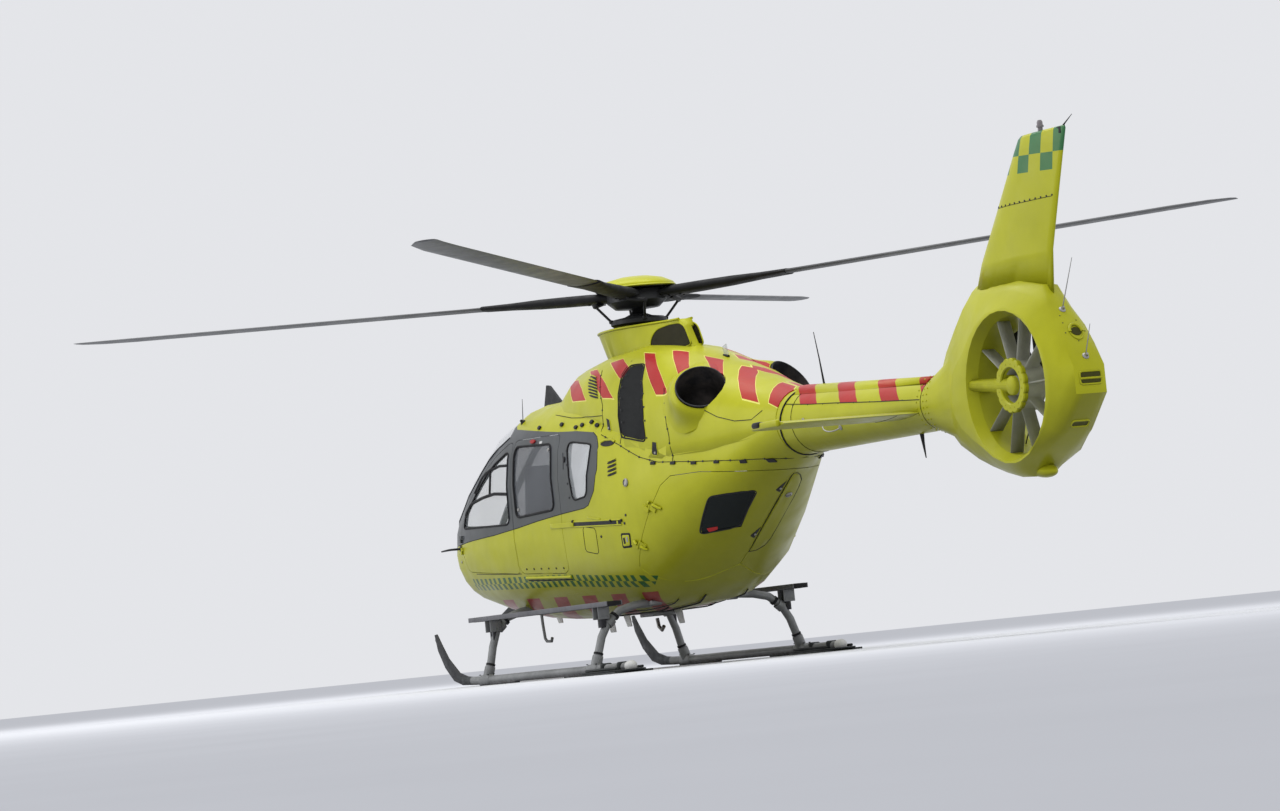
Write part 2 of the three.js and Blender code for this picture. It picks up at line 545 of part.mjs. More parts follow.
const grille = cowl.subtract(body(COWL, 10)).intersect(prism(grown(intake, -REST), 200, 1200)).intersect(aboveDeck);
const exhaust = bar(alongExhaust(0), alongExhaust(EXHAUST.length), EXHAUST.radius, undefined, 18)
  .subtract(bar(alongExhaust(-20), alongExhaust(EXHAUST.length - 60), EXHAUST.radius - 8, undefined, 18));
const engine = box(...ENGINE.x, ...ENGINE.station, ...ENGINE.height).intersect(aboveDeck).subtract(
  bar(alongExhaust(-20), alongExhaust(EXHAUST.length + 5), EXHAUST.radius + 5, undefined, 18));
for (const [side, sign] of SIDES) {
  add(`intake_grille_${side}`, biggest(onSide(grille, sign)), "black");
  add(`exhaust_${side}`, onSide(exhaust, sign), "dark_metal");
  add(`engine_${side}`, biggest(onSide(engine, sign)), "dark_metal");
}
add("gearbox", box(-230, 230, 2930, 3390, 2100, GEARBOX_TOP).intersect(body(COWL, COWL_SKIN + 5)).subtract(podGrown), "dark_metal");

// Teardrop collar round the mast
const collarOuter = collar(0);
const collarInner = collar(COLLAR.skin, 5);
const collarVent = prism(COLLAR_VENT, 30, 600);
add("pylon_fairing", biggest(collarOuter.subtract(collarInner).subtract(collarVent).subtract(mirrored(collarVent))
  .subtract(body(COWL, -REST))), "paint");

// Tail
const boomRow = (station, inset) => {
  const along = (station - BOOM.front) / (BOOM.rear - BOOM.front);
  const radius = THREE.MathUtils.lerp(BOOM.frontRadius, BOOM.rearRadius, along) - inset;
  const height = THREE.MathUtils.lerp(BOOM.frontHeight, BOOM.rearHeight, along);
  return [station, radius, height - radius, height, height + radius, 2, 2];
};
const boomBar = (inset, from = BOOM.front + REST, to = BOOM.rear - REST) =>
  loft([bodyRing(boomRow(from, inset), 0), bodyRing(boomRow(to, inset), 0)]);
add("tail_boom", boomBar(0).subtract(boomBar(BOOM.wall, BOOM.front - 60, BOOM.rear + 60)), "paint");
add("shaft_cover", biggest(body(SHAFT_COVER, 0).subtract(boomBar(-REST, BOOM.front - 100, BOOM.rear + 100))
  .subtract(body(SHAFT_COVER, 6).translate([0, 0, -6]))), "paint");
// The shroud in slices along X. Its edge is rounded in front and blunt behind.
function shroudSolid(inset, slices) {
  const half = DUCT.half - inset;
  const rings = [];
  const nose = (part) => Math.hypot(part, BEVEL_NOSE) - BEVEL_NOSE;
  for (let i = 0; i <= slices; i++) {
    const x = -half * Math.cos((i / slices) * Math.PI);
    rings.push(SHROUD.map(([station, height, bevel, edge]) => {
      const out = new THREE.Vector2(station - DUCT.station, height - DUCT.height);
      const full = out.length();
      const part = Math.max(0, (Math.abs(x) - edge) / (half - Math.min(edge, half)));
      const most = Math.max(full - DUCT.radius - DUCT.lip - 16, 20);
      out.setLength(full - inset - (Math.min(bevel, most) * nose(part)) / nose(1));
      return new THREE.Vector3(x, DUCT.station + out.x, DUCT.height + out.y);
    }));
  }
  return loft(rings);
}
const shroudOuter = shroudSolid(0, 10).add(body(NECK, 0));
const ductBore = (inset, edge) => turnedAboutDuct([[0, -400], [edge + DUCT.lip - inset, -400], [edge + DUCT.lip - inset, -DUCT.half],
  [edge - inset, -DUCT.half + 2 * DUCT.lip], [edge - inset, DUCT.half - 2 * DUCT.lip], [edge + DUCT.lip - inset, DUCT.half],
  [edge + DUCT.lip - inset, 400], [0, 400]], 32);
// The shroud is a shell round the duct, open to the boom's hollow
const shroudInside = shroudSolid(TAIL_SKIN, 6).add(body(NECK, TAIL_SKIN)).subtract(turnedAboutDuct([[0, -400],
  [DUCT.radius + DUCT.lip + TAIL_SKIN, -400], [DUCT.radius + DUCT.lip + TAIL_SKIN, 400], [0, 400]], 32));
const shroudMouth = loft([bodyRing(NECK[0], 45, BOOM.rear - 50), bodyRing(NECK[0], 45, BOOM.rear + 60)]);
add("fenestron_shroud", biggest(shroudOuter.subtract(ductBore(0, DUCT.radius)).subtract(shroudInside).subtract(shroudMouth)), "paint");
const finSections = (inset) => FIN.filter((row) => !inset || row[0] < FIN_HOLLOW_TOP).map(([height, front, rear, thickness]) => {
  const ring = [];
  for (let i = 0; i < 24; i++) {
    const angle = (i / 24) * Math.PI * 2;
    const chord = (1 - Math.cos(angle)) / 2;
    const depth = 2.6 * (0.2969 * Math.sqrt(chord) - 0.126 * chord - 0.3516 * chord ** 2 + 0.2843 * chord ** 3 - 0.09 * chord ** 4);
    const half = Math.max(depth * thickness * 1.9 - inset, 5 - inset / 4);
    ring.push(new THREE.Vector3(Math.sign(Math.sin(angle)) * half, front + inset * 3 + (rear - front - inset * 9) * chord, height - inset));
  }
  ring[0].x = 0;
  ring[12].x = 0;
  return ring;
});
add("vertical_fin", biggest(loft(finSections(0)).subtract(loft(finSections(TAIL_SKIN))).subtract(shroudSolid(-REST, 10))), "paint");
const wing = loft([0, 1].map((k) => {
  const ring = [];
  for (let i = 0; i < 20; i++) {
    const angle = (i / 20) * Math.PI * 2;
    const chord = (1 - Math.cos(angle)) / 2;
    const depth = Math.sin(angle) * (1 - 0.55 * chord) * STABILISER.thickness * 0.62;
    ring.push(new THREE.Vector3(k * STABILISER.half, STABILISER.station + STABILISER.chord * chord, STABILISER.height + depth));
  }
  return ring;
})).subtract(boomBar(-REST, BOOM.front, BOOM.rear));
for (const [side, sign] of SIDES) add(`stabiliser_${side}`, biggest(onSide(wing, sign)), "paint");

// Tail rotor and the fixed vanes beside it
const spinner = turnedAboutDuct([[0, -150], [60, -148], [95, -130], [100, -30], [0, -30]], 24);
const fan = [spinner];
for (let i = 0; i < FAN.blades; i++) {
  const blade = box(-FAN.thickness / 2, FAN.thickness / 2, -FAN.chord / 2, FAN.chord / 2, 80, FAN.radius)
    .rotate([0, 0, 35]).translate([-90, 0, 0]).rotate([(360 * i) / FAN.blades, 0, 0]).translate([0, DUCT.station, DUCT.height]);
  fan.push(blade);
}
add("tail_rotor", join(...fan), "dark_metal");
const stator = [turnedAboutDuct([[0, -30 + REST], [25, -30 + REST], [25, -20], [STATOR.hub - 8, -20], [STATOR.hub, -5], [STATOR.hub, 145],
  [STATOR.hub - 12, 165], [STATOR.hub - 50, 165], [STATOR.hub - 62, 150], [STATOR.hub - 62, 60], [70, 60], [70, 165], [55, 176], [0, 176]], 32)];
for (let i = 0; i < STATOR.vanes; i++) {
  const vane = box(STATOR.inner, STATOR.inner + STATOR.chord, -STATOR.thickness / 2, STATOR.thickness / 2, STATOR.hub - 25, DUCT.radius + 20)
    .rotate([(360 * (i + 0.5)) / STATOR.vanes, 0, 0]).translate([0, DUCT.station, DUCT.height]);
  stator.push(vane);
}
stator.push(bar([115, DUCT.station, DUCT.height], STATOR.armEnd, 58, 42, 16));
add("stator", join(...stator).intersect(ductBore(REST, DUCT.radius)), "paint");

// Landing gear
const skidPath = (x) => [[x, SKID.rear, SKID.height], [x, 3600, SKID.height], [x, 2400, SKID.height], [x, 1450, SKID.height],
  [x, SKID.bend, SKID.height + 12], [x, 930, 105], [x, 760, 235], [x, 650, 355], [x, SKID.toe, SKID.toeHeight]];
const skidTube = (radius) => bent(skidPath(SKID.x), radius, 32);
const skidGrown = skidTube(SKID.radius + REST);
for (const [name, station, height] of CROSS_TUBES)
  add(`cross_tube_${name}`, biggest(crossTube(station, height).subtract(skidGrown).subtract(mirrored(skidGrown))), "gear_grey");
for (const [side, sign] of SIDES) {
  let skid = skidTube(SKID.radius).add(box(SKID.x - 22, SKID.x + 22, 1430, 2150, 0, 30)).add(box(SKID.x - 22, SKID.x + 22, 3100, 3700, 0, 30));
  skid = skid.add(box(SKID.x - PAW.half, SKID.x + PAW.half, PAW.front, PAW.rear, 0, PAW.thickness));
  add(`skid_${side}`, biggest(onSide(skid, sign)), "gear_grey");
  let step = box(STEP.x - STEP.width / 2, STEP.x + STEP.width / 2, STEP.front, STEP.rear, STEP.height, STEP.height + STEP.thickness);
  for (const [, station, height] of CROSS_TUBES)
    step = step.add(box(STEP.x - 22, STEP.x + 22, station - 30, station + 30, 380, STEP.height + 5))
      .subtract(crossTube(station, height, REST));
  add(`step_${side}`, biggest(onSide(step, sign)), "gear_grey");
}

// Wire cutters on the middle line
add("wire_cutter_upper", biggest(prism(CUTTER_UPPER, -10, 10).subtract(podGrown).subtract(body(COWL, -REST))), "gear_grey");
add("wire_cutter_lower", biggest(prism(CUTTER_LOWER, -10, 10).subtract(podGrown)), "gear_grey");

// Main rotor
const mast = bar([0, MAST_STATION, GEARBOX_TOP + REST], [0, MAST_STATION, HUB_HEIGHT - 20], 55, 50, 20);
const plate = bar([0, MAST_STATION, HUB_HEIGHT - 45], [0, MAST_STATION, HUB_HEIGHT + 45], HUB_RADIUS, HUB_RADIUS, 24)
  .add(bar([0, MAST_STATION, HUB_HEIGHT - 100], [0, MAST_STATION, HUB_HEIGHT - 45], HUB_RADIUS * 0.75, HUB_RADIUS, 24));
const capSeat = bar([0, MAST_STATION, HUB_HEIGHT], [0, MAST_STATION, CAP[0][1] - REST], 120, 120, 20);
add("rotor_hub", mast.add(plate).add(capSeat), "black");
const dome = new THREE.LatheGeometry(CAP.map(([r, z]) => new THREE.Vector2(r, z)), 24);
dome.rotateX(Math.PI / 2);
dome.translate(0, MAST_STATION, 0);
add("rotor_cap", solid(dome), "paint");
for (let i = 0; i < BLADE_COUNT; i++) {
  const blade = loft(BLADE.map(([r, half, thickness, sweep]) => {
    const ring = [];
    for (let k = 0; k < 12; k++) {
      const angle = (k / 12) * Math.PI * 2;
      const chord = (1 - Math.cos(angle)) / 2;
      ring.push(new THREE.Vector3(r, sweep + half * (2 * chord - 1), Math.sin(angle) * (1 - 0.5 * chord) * thickness * 0.62));
    }
    return ring;
  })).rotate([0, -THREE.MathUtils.radToDeg(CONING), 0])
    .rotate([0, 0, THREE.MathUtils.radToDeg(BLADE_START) + (360 * i) / BLADE_COUNT])
    .translate([0, MAST_STATION, HUB_HEIGHT]);
  add(`main_blade_${i + 1}`, biggest(blade.subtract(bar([0, MAST_STATION, HUB_HEIGHT - 80],
    [0, MAST_STATION, HUB_HEIGHT + 80], HUB_RADIUS + REST, HUB_RADIUS + REST, 24))), "blade_grey");
}

export default group;
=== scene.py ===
import json
import math
from functools import partial, reduce

import bmesh
import bpy
from bpy.props import FloatProperty, FloatVectorProperty, PointerProperty
from bpy.types import Operator, Panel, PropertyGroup
from mathutils import Matrix, Vector
from mathutils.bvhtree import BVHTree

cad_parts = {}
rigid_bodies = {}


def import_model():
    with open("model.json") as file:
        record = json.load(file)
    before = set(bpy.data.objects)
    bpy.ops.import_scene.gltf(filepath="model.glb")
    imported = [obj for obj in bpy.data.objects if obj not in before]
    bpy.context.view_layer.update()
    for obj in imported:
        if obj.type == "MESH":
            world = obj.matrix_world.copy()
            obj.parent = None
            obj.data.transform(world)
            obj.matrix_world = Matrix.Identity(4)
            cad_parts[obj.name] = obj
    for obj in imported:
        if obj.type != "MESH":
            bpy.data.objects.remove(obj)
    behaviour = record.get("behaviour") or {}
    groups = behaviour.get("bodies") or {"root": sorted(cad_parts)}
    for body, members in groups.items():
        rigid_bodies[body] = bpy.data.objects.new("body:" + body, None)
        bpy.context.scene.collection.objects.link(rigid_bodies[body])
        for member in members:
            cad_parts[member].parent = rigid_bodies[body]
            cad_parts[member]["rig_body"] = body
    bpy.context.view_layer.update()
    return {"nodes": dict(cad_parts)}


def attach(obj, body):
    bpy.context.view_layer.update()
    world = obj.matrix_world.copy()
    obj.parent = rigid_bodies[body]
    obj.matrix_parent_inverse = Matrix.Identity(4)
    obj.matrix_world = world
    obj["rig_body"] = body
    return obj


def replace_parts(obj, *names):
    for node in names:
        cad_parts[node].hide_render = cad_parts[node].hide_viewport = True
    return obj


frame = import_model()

bl_info = {
    "name": "Rescue helicopter",
    "version": (1, 0, 0),
    "blender": (4, 5, 0),
    "location": "3D View > Sidebar > Helicopter",
    "description": "Finishes, fittings and stage for the rescue helicopter",
    "category": "Add Mesh",
}

# Stations run aft from the nose tip. AFT is the nose tip's Y.
AFT = -4.735
SIDES = (("left", 1), ("right", -1))

# Body rows: station, half width, bottom, widest height, top, power above, power below
POD = (
    (0.0, 0.060, 1.080, 1.150, 1.215, 2.0, 2.0),
    (0.03, 0.225, 0.965, 1.150, 1.310, 2.1, 2.1),
    (0.1, 0.400, 0.850, 1.150, 1.420, 2.2, 2.2),
    (0.25, 0.540, 0.760, 1.160, 1.555, 2.3, 2.3),
    (0.5, 0.645, 0.670, 1.170, 1.735, 2.5, 2.4),
    (0.9, 0.725, 0.585, 1.180, 2.005, 2.8, 2.35),
    (1.4, 0.768, 0.508, 1.190, 2.240, 3.1, 2.4),
    (1.9, 0.780, 0.472, 1.200, 2.345, 3.3, 2.45),
    (2.6, 0.780, 0.465, 1.200, 2.345, 3.4, 2.5),
    (3.4, 0.778, 0.470, 1.210, 2.290, 3.3, 2.6),
    (3.9, 0.758, 0.510, 1.235, 2.190, 3.0, 2.7),
    (4.3, 0.700, 0.650, 1.300, 2.150, 2.7, 2.5),
    (4.7, 0.595, 0.885, 1.400, 2.110, 2.4, 2.3),
    (5.1, 0.470, 1.155, 1.530, 2.085, 2.2, 2.2),
    (5.5, 0.350, 1.410, 1.690, 2.080, 2.0, 2.0),
    (5.83, 0.262, 1.553, 1.815, 2.077, 2.0, 2.0),
)
COWL = (
    (2.12, 0.260, 2.180, 2.250, 2.330, 2.0, 2.0),
    (2.33, 0.450, 1.900, 2.120, 2.450, 2.4, 2.1),
    (2.7, 0.560, 1.750, 2.050, 2.590, 2.6, 2.1),
    (3.2, 0.615, 1.600, 1.950, 2.650, 2.7, 2.0),
    (3.7, 0.650, 1.500, 1.850, 2.665, 2.6, 2.0),
    (4.2, 0.650, 1.400, 1.790, 2.582, 2.4, 2.0),
    (4.6, 0.605, 1.400, 1.770, 2.464, 2.3, 2.0),
    (5.0, 0.505, 1.430, 1.775, 2.339, 2.2, 2.0),
    (5.4, 0.385, 1.490, 1.790, 2.202, 2.1, 2.0),
    (5.83, 0.262, 1.553, 1.815, 2.082, 2.0, 2.0),
)
DUCT = (9.207, 1.780)  # station and height of the tail rotor's axis
MAST = 3.160
HUB = 3.107

# Side outlines as station and height
WINDSCREEN = ((0.07, 1.400), (0.42, 1.420), (0.8, 1.590), (1.2, 1.835), (1.56, 2.010), (1.785, 2.085))
FRONT_WINDOW = (
    (0.79, 1.37), (0.88, 1.49), (1.235, 1.705), (1.59, 1.88), (1.82, 1.95), (1.89, 1.94), (1.9, 1.385), (1.86, 1.34),
)
SLIDING_WINDOW = (
    (2.045, 1.42), (2.01, 1.96), (2.05, 1.985), (2.68, 1.955), (2.745, 1.92), (2.79, 1.45), (2.76, 1.4),
    (2.08, 1.385),
)
SIDE_WINDOW = (
    (3.08, 1.94), (3.47, 1.89), (3.48, 1.85), (3.415, 1.5), (3.38, 1.465), (3.19, 1.45), (3.15, 1.48), (3.05, 1.9),
)
UPPER_RAIL = ((1.10, 1.665), (1.3, 1.79), (1.5, 1.835), (1.7, 1.852), (1.895, 1.842))
LOWER_RAIL = ((0.87, 1.485), (1.04, 1.58), (1.3, 1.605), (1.6, 1.622), (1.9, 1.598))
REAR_WINDOW = ((4.718, 1.037), (4.991, 1.320), (5.312, 1.333), (4.934, 1.063))
BAND_LOW = (
    (0.0, 1.10), (0.55, 1.235), (1.05, 1.256), (1.53, 1.268), (2.03, 1.296), (2.44, 1.328), (2.93, 1.356),
    (3.35, 1.372), (3.43, 1.39),
)
BAND_REAR = ((3.43, 1.39), (3.54, 1.5), (3.605, 1.67), (3.597, 1.86), (3.54, 1.945), (3.47, 1.985))
BAND_TOP = ((3.47, 1.985), (3.17, 2.02), (2.8, 2.045), (2.34, 2.092), (1.9, 2.14), (1.78, 2.2), (1.7, 2.6))


def place(x, station, height):
    """A point of the frame from x, station and height."""
    return Vector((x, station + AFT, height))


# Materials

class Finish:
    """A material made of small sums on Object coordinates."""

    def __init__(self, name, rough=0.4, metal=0.0, **sockets):
        self.material = bpy.data.materials.new(name)
        self.material.use_nodes = True
        self.tree = self.material.node_tree
        self.tree.nodes.clear()
        out = self.tree.nodes.new("ShaderNodeOutputMaterial")
        self.shader = self.tree.nodes.new("ShaderNodeBsdfPrincipled")
        self.link(self.shader.outputs[0], out.inputs[0])
        self.point = self.tree.nodes.new("ShaderNodeTexCoord").outputs["Object"]
        split = self.tree.nodes.new("ShaderNodeSeparateXYZ")
        self.link(self.point, split.inputs[0])
        self.x, self.y, self.z = split.outputs
        self.out = self.sum("ABSOLUTE", self.x)
        self.set("Roughness", rough)
        self.set("Metallic", metal)
        self.set("Specular IOR Level", 0.16)
        for key, value in sockets.items():
            self.set(key.replace("_", " "), value)

    @property
    def station(self):
        return self.sum("SUBTRACT", self.y, AFT)

    def link(self, a, b):
        self.tree.links.new(a, b)

    def feed(self, socket, value):
        if isinstance(value, bpy.types.NodeSocket):
            self.link(value, socket)
        elif isinstance(value, (tuple, list)):
            socket.default_value = (*value, 1.0) if len(value) == 3 and len(socket.default_value) == 4 else value
        else:
            socket.default_value = value

    def set(self, name, value):
        self.feed(self.shader.inputs[name], value)

    def sum(self, kind, a, b=0.0, c=0.0, clamp=False):
        node = self.tree.nodes.new("ShaderNodeMath")
        node.operation = kind
        node.use_clamp = clamp
        for socket, value in zip(node.inputs, (a, b, c)):
            self.feed(socket, value)
        return node.outputs[0]

    def over(self, a, limit):
        return self.sum("GREATER_THAN", a, limit)

    def under(self, a, limit):
        return self.sum("LESS_THAN", a, limit)

    def between(self, a, low, high):
        return self.sum("COMPARE", a, (low + high) / 2, (high - low) / 2)

    def all(self, *masks):
        return reduce(partial(self.sum, "MULTIPLY"), masks)

    def any(self, *masks):
        return reduce(partial(self.sum, "MAXIMUM"), masks)

    def radius(self, u, v):
        return self.sum("SQRT", self.sum("ADD", self.sum("MULTIPLY", u, u), self.sum("MULTIPLY", v, v)))

    def beside(self, u, v, start, end):
        """1 to the left of the line from start to end in the plane of u and v."""
        du, dv = end[0] - start[0], end[1] - start[1]
        turned = self.sum("MULTIPLY_ADD", v, du, self.sum("MULTIPLY", u, -dv))
        return self.over(turned, du * start[1] - dv * start[0])

    def inside(self, u, v, corners):
        """1 inside a convex outline whose corners run anticlockwise."""
        return self.all(*(self.beside(u, v, a, b) for a, b in zip(corners, (*corners[1:], corners[0]))))

    def curve(self, value, points):
        """Height of a line through points at value."""
        node = self.tree.nodes.new("ShaderNodeFloatCurve")
        low, high = points[0][0], points[-1][0]
        line = node.mapping.curves[0]
        node.mapping.extend = "HORIZONTAL"
        line.points[0].location = (0.0, points[0][1] / 4)
        line.points[1].location = (1.0, points[-1][1] / 4)
        for at, height in points[1:-1]:
            line.points.new((at - low) / (high - low), height / 4)
        for point in line.points:
            point.handle_type = "VECTOR"
        node.mapping.update()
        self.feed(node.inputs["Value"], self.sum("DIVIDE", self.sum("SUBTRACT", value, low), high - low, clamp=True))
        return self.sum("MULTIPLY", node.outputs[0], 4.0)

    def noise(self, scale, detail=2.0, rough=0.5, stretch=None):
        node = self.tree.nodes.new("ShaderNodeTexNoise")
        node.inputs["Scale"].default_value = scale
        node.inputs["Detail"].default_value = detail
        node.inputs["Roughness"].default_value = rough
        where = self.point
        if stretch:
            mapping = self.tree.nodes.new("ShaderNodeMapping")
            mapping.inputs["Scale"].default_value = stretch
            self.link(self.point, mapping.inputs[0])
            where = mapping.outputs[0]
        self.link(where, node.inputs["Vector"])
        return node.outputs[0]

    def spread(self, value, low, high, first=0.0, last=1.0):
        node = self.tree.nodes.new("ShaderNodeMapRange")
        for socket, part in zip(node.inputs, (value, low, high, first, last)):
            self.feed(socket, part)
        return node.outputs[0]

    def mix(self, amount, first, second, kind="MIX"):
        node = self.tree.nodes.new("ShaderNodeMix")
        node.data_type = "RGBA"
        node.blend_type = kind
        self.feed(node.inputs[0], amount)
        self.feed(node.inputs[6], first)
        self.feed(node.inputs[7], second)
        return node.outputs[2]

    def uneven(self, scale, low, high, first=0.3, last=0.7):
        """Roughness in clouds between low and high."""
        self.set("Roughness", self.spread(self.noise(scale, 4.0), first, last, low, high))

    def bump(self, height, strength, distance):
        node = self.tree.nodes.new("ShaderNodeBump")
        node.inputs["Strength"].default_value = strength
        node.inputs["Distance"].default_value = distance
        self.feed(node.inputs["Height"], height)
        old = self.shader.inputs["Normal"]
        if old.is_linked:
            self.link(old.links[0].from_socket, node.inputs["Normal"])
        self.link(node.outputs[0], old)

    def worn(self, colour, dust=0.10, scale=3.0, soil=(0.05, 0.05, 0.048)):
        """Colour with slow clouds, dust and faint streaks down its sides."""
        cloud = self.spread(self.noise(scale, 4.0, 0.6), 0.3, 0.7, 1.0 - dust, 1.0 + dust * 0.35)
        streak = self.spread(self.noise(9.0, 3.0, 0.6, (1.0, 1.6, 0.18)), 0.55, 0.85, 0.0, dust * 0.7)
        soiled = self.mix(streak, colour, soil)
        return self.mix(1.0, soiled, cloud, "MULTIPLY")

    def under_grime(self, colour, least=0.42):
        """Colour darkened by painted shade on faces that look down."""
        facing = self.tree.nodes.new("ShaderNodeSeparateXYZ")
        self.link(self.tree.nodes.new("ShaderNodeNewGeometry").outputs["Normal"], facing.inputs[0])
        painted_shade = self.spread(facing.outputs[2], -0.75, 0.12, least, 1.0)
        return self.mix(1.0, colour, painted_shade, "MULTIPLY")


FINISHES = {}


def finish(name):
    """The material of that name, made the first time it is asked for."""
    if name not in FINISHES:
        make, *values = RECIPES[name]
        FINISHES[name] = make(name, *values)
    return FINISHES[name]


def paint(name):
    """One of the colours that can be chosen in the panel."""
    return tuple(getattr(bpy.context.scene.helicopter_colours, name))


def gloss_paint(name, colour_of, painted_shade=0.42):
    """Gloss paint with dust, streaks, faint waves and painted shade on faces that look down. colour_of gives its
    colour.
    """
    f = Finish(name, Coat_Weight=0.05, Coat_Roughness=0.10, Specular_IOR_Level=0.30, Specular_Tint=(1.0, 1.0, 0.25))
    f.set("Base Color", f.under_grime(f.worn(colour_of(f), soil=(0.14, 0.13, 0.04)), painted_shade))
    f.uneven(5.0, 0.29, 0.46, last=0.75)
    f.bump(f.noise(1.4, 2.0), 0.16, 0.02)
    f.bump(f.noise(260.0, 1.0), 0.03, 0.001)
    return f.material


def surface(name, colour_of, metal, clouds, grain):
    """A finish from its colour, its clouds of roughness (scale, low, high) and its grain
    (scale, detail, strength, depth)."""
    f = Finish(name, metal=metal)
    f.set("Base Color", colour_of(f))
    f.uneven(*clouds)
    f.bump(f.noise(*grain[:2]), *grain[2:])
    return f.material


def pod_colour(f):
    """Lime body with the grey window band, the checks along the sill and the blocks under the belly."""
    station, sizes = f.station, bpy.context.scene.helicopter_sizes
    # window band
    low = f.over(f.z, f.curve(station, BAND_LOW))
    top = f.under(f.z, f.curve(station, tuple(reversed(BAND_TOP))))
    rear = f.under(station, f.curve(f.z, tuple((b, a) for a, b in BAND_REAR)))
    front = f.under(station, 1.8)
    band = f.any(f.all(low, top, rear, f.over(station, 1.79)), f.all(low, front))
    # checks along the sill
    lower_edge = f.curve(station, ((0.62, 0.835), (1.0, 0.815), (2.7, 0.757), (3.92, 0.672), (4.2, 0.64)))
    step = f.sum("DIVIDE", f.sum("SUBTRACT", f.z, lower_edge), sizes.check_height)
    rows = f.between(step, 0.0, 2.0)
    column = f.sum("DIVIDE", station, sizes.check_length)
    even = f.sum("MODULO", f.sum("ADD", f.sum("FLOOR", step), f.sum("FLOOR", column)), 2.0)
    ends = f.all(f.over(station, 0.72), f.under(f.sum("MULTIPLY_ADD", step, -0.07, station), 3.99))
    checks = f.all(rows, f.over(f.sum("ABSOLUTE", even), 0.5), ends, f.over(f.out, 0.3))
    # blocks across the belly
    back = f.sum("MULTIPLY_ADD", f.out, -1.3, f.sum("ADD", station, 0.728))
    turn = f.sum("MODULO", f.sum("ADD", back, 0.45), 0.5325)
    belly = f.under(f.z, f.sum("MULTIPLY_ADD", station, -0.032, 0.755))
    blocks = f.all(f.under(turn, 0.255), f.between(back, 1.0, 4.1), belly)
    return f.mix(band, f.mix(blocks, f.mix(checks, paint("lime"), paint("green")), paint("red")), paint("band"))


# Red blocks over the cowling's shoulder. Each corner is a station, and a height less the
# distance from the middle line.
SHOULDER_BLOCKS = (
    ((2.88, 1.735), (3.25, 1.675), (3.03, 1.85), (2.86, 2.02), (2.60, 2.06)),
    ((3.54, 1.655), (3.81, 1.615), (3.52, 1.83), (3.26, 2.06), (3.00, 2.10)),
    ((3.78, 1.845), (3.97, 1.90), (3.77, 2.04), (3.60, 2.17), (3.38, 2.14)),
    ((4.40, 1.65), (4.575, 1.66), (4.31, 1.94), (4.00, 2.25), (3.85, 2.25)),
    ((4.58, 1.905), (4.72, 1.94), (4.43, 2.25), (4.33, 2.36), (4.15, 2.34)),
    ((4.88, 2.07), (5.02, 2.03), (4.84, 2.23), (4.72, 2.35), (4.52, 2.34)),
    ((5.395, 1.755), (5.60, 1.735), (5.20, 2.24), (5.10, 2.32), (4.97, 2.30)),
    ((5.71, 1.75), (5.86, 1.70), (5.86, 1.96), (5.76, 2.09), (5.57, 2.13)),
)


def cowl_colour(f):
    """Lime cowling with pale-edged red blocks along its shoulders."""
    station, lift = f.station, f.sum("SUBTRACT", f.z, f.out)
    edge, core = [], []
    for corners in SHOULDER_BLOCKS:
        s0, v0 = (sum(axis) / len(corners) for axis in zip(*corners))
        wide = tuple((s0 + (s - s0) * 1.07, v0 + (v - v0) * 1.06) for s, v in corners)
        edge.append(f.inside(station, lift, wide))
        core.append(f.inside(station, lift, corners))
    return f.mix(f.any(*core), f.mix(f.any(*edge), paint("lime"), (0.72, 0.70, 0.16)), paint("red"))


def slanted_blocks(f, where):
    """Lime with slanted red blocks in that place."""
    lean = f.sum("MULTIPLY_ADD", f.sum("SUBTRACT", f.z, f.out), 0.78, f.station)
    turn = f.sum("MODULO", f.sum("ADD", lean, 0.10), 0.585)
    return f.mix(f.all(f.under(turn, 0.25), where), paint("lime"), paint("red"))


def boom_colour(f):
    """Lime boom. The blocks of the cover above run down to its seam."""
    return slanted_blocks(f, f.over(f.z, f.sum("MULTIPLY_ADD", f.station, -0.075, 2.391)))


def cover_colour(f):
    """Lime drive shaft cover with red blocks along it."""
    return slanted_blocks(f, f.over(f.z, 1.70))


def fin_colour(f):
    """Lime fin with two staggered rows of green checks at its top."""
    station = f.station
    lift = f.sum("MULTIPLY_ADD", f.sum("SUBTRACT", station, 9.33), 0.06, f.z)
    across = f.sum("SUBTRACT", f.sum("MULTIPLY_ADD", f.z, -0.25, station), 7.622)
    column = f.sum("FLOOR", f.sum("DIVIDE", across, 0.139))
    upper = f.over(lift, 3.406)
    odd = f.sum("ABSOLUTE", f.sum("MODULO", f.sum("ADD", column, upper), 2.0))
    checks = f.all(f.over(lift, 3.281), f.over(odd, 0.5))
    return f.mix(checks, paint("lime"), paint("fin_green"))


def vane_colour(f):
    """Grey vanes round a lime hub and arm, with painted shade on faces that look down."""
    along = f.sum("SUBTRACT", f.station, DUCT[0])
    above = f.sum("SUBTRACT", f.z, DUCT[1])
    line = f.sum("ABSOLUTE", f.sum("MULTIPLY_ADD", along, 0.097, above))
    arm = f.all(f.under(along, 0.0), f.under(line, 0.075), f.over(f.x, 0.07))
    hub = f.all(f.under(f.radius(along, above), 0.192), f.over(f.x, 0.138))
    return f.under_grime(f.worn(f.mix(f.any(hub, arm), (0.43, 0.435, 0.375), paint("lime")), 0.2, 5.0), 0.7)


def cap_colour(f):
    """Lime dome, black beneath."""
    return f.mix(f.under(f.z, 3.168), paint("lime"), (0.012, 0.012, 0.013))


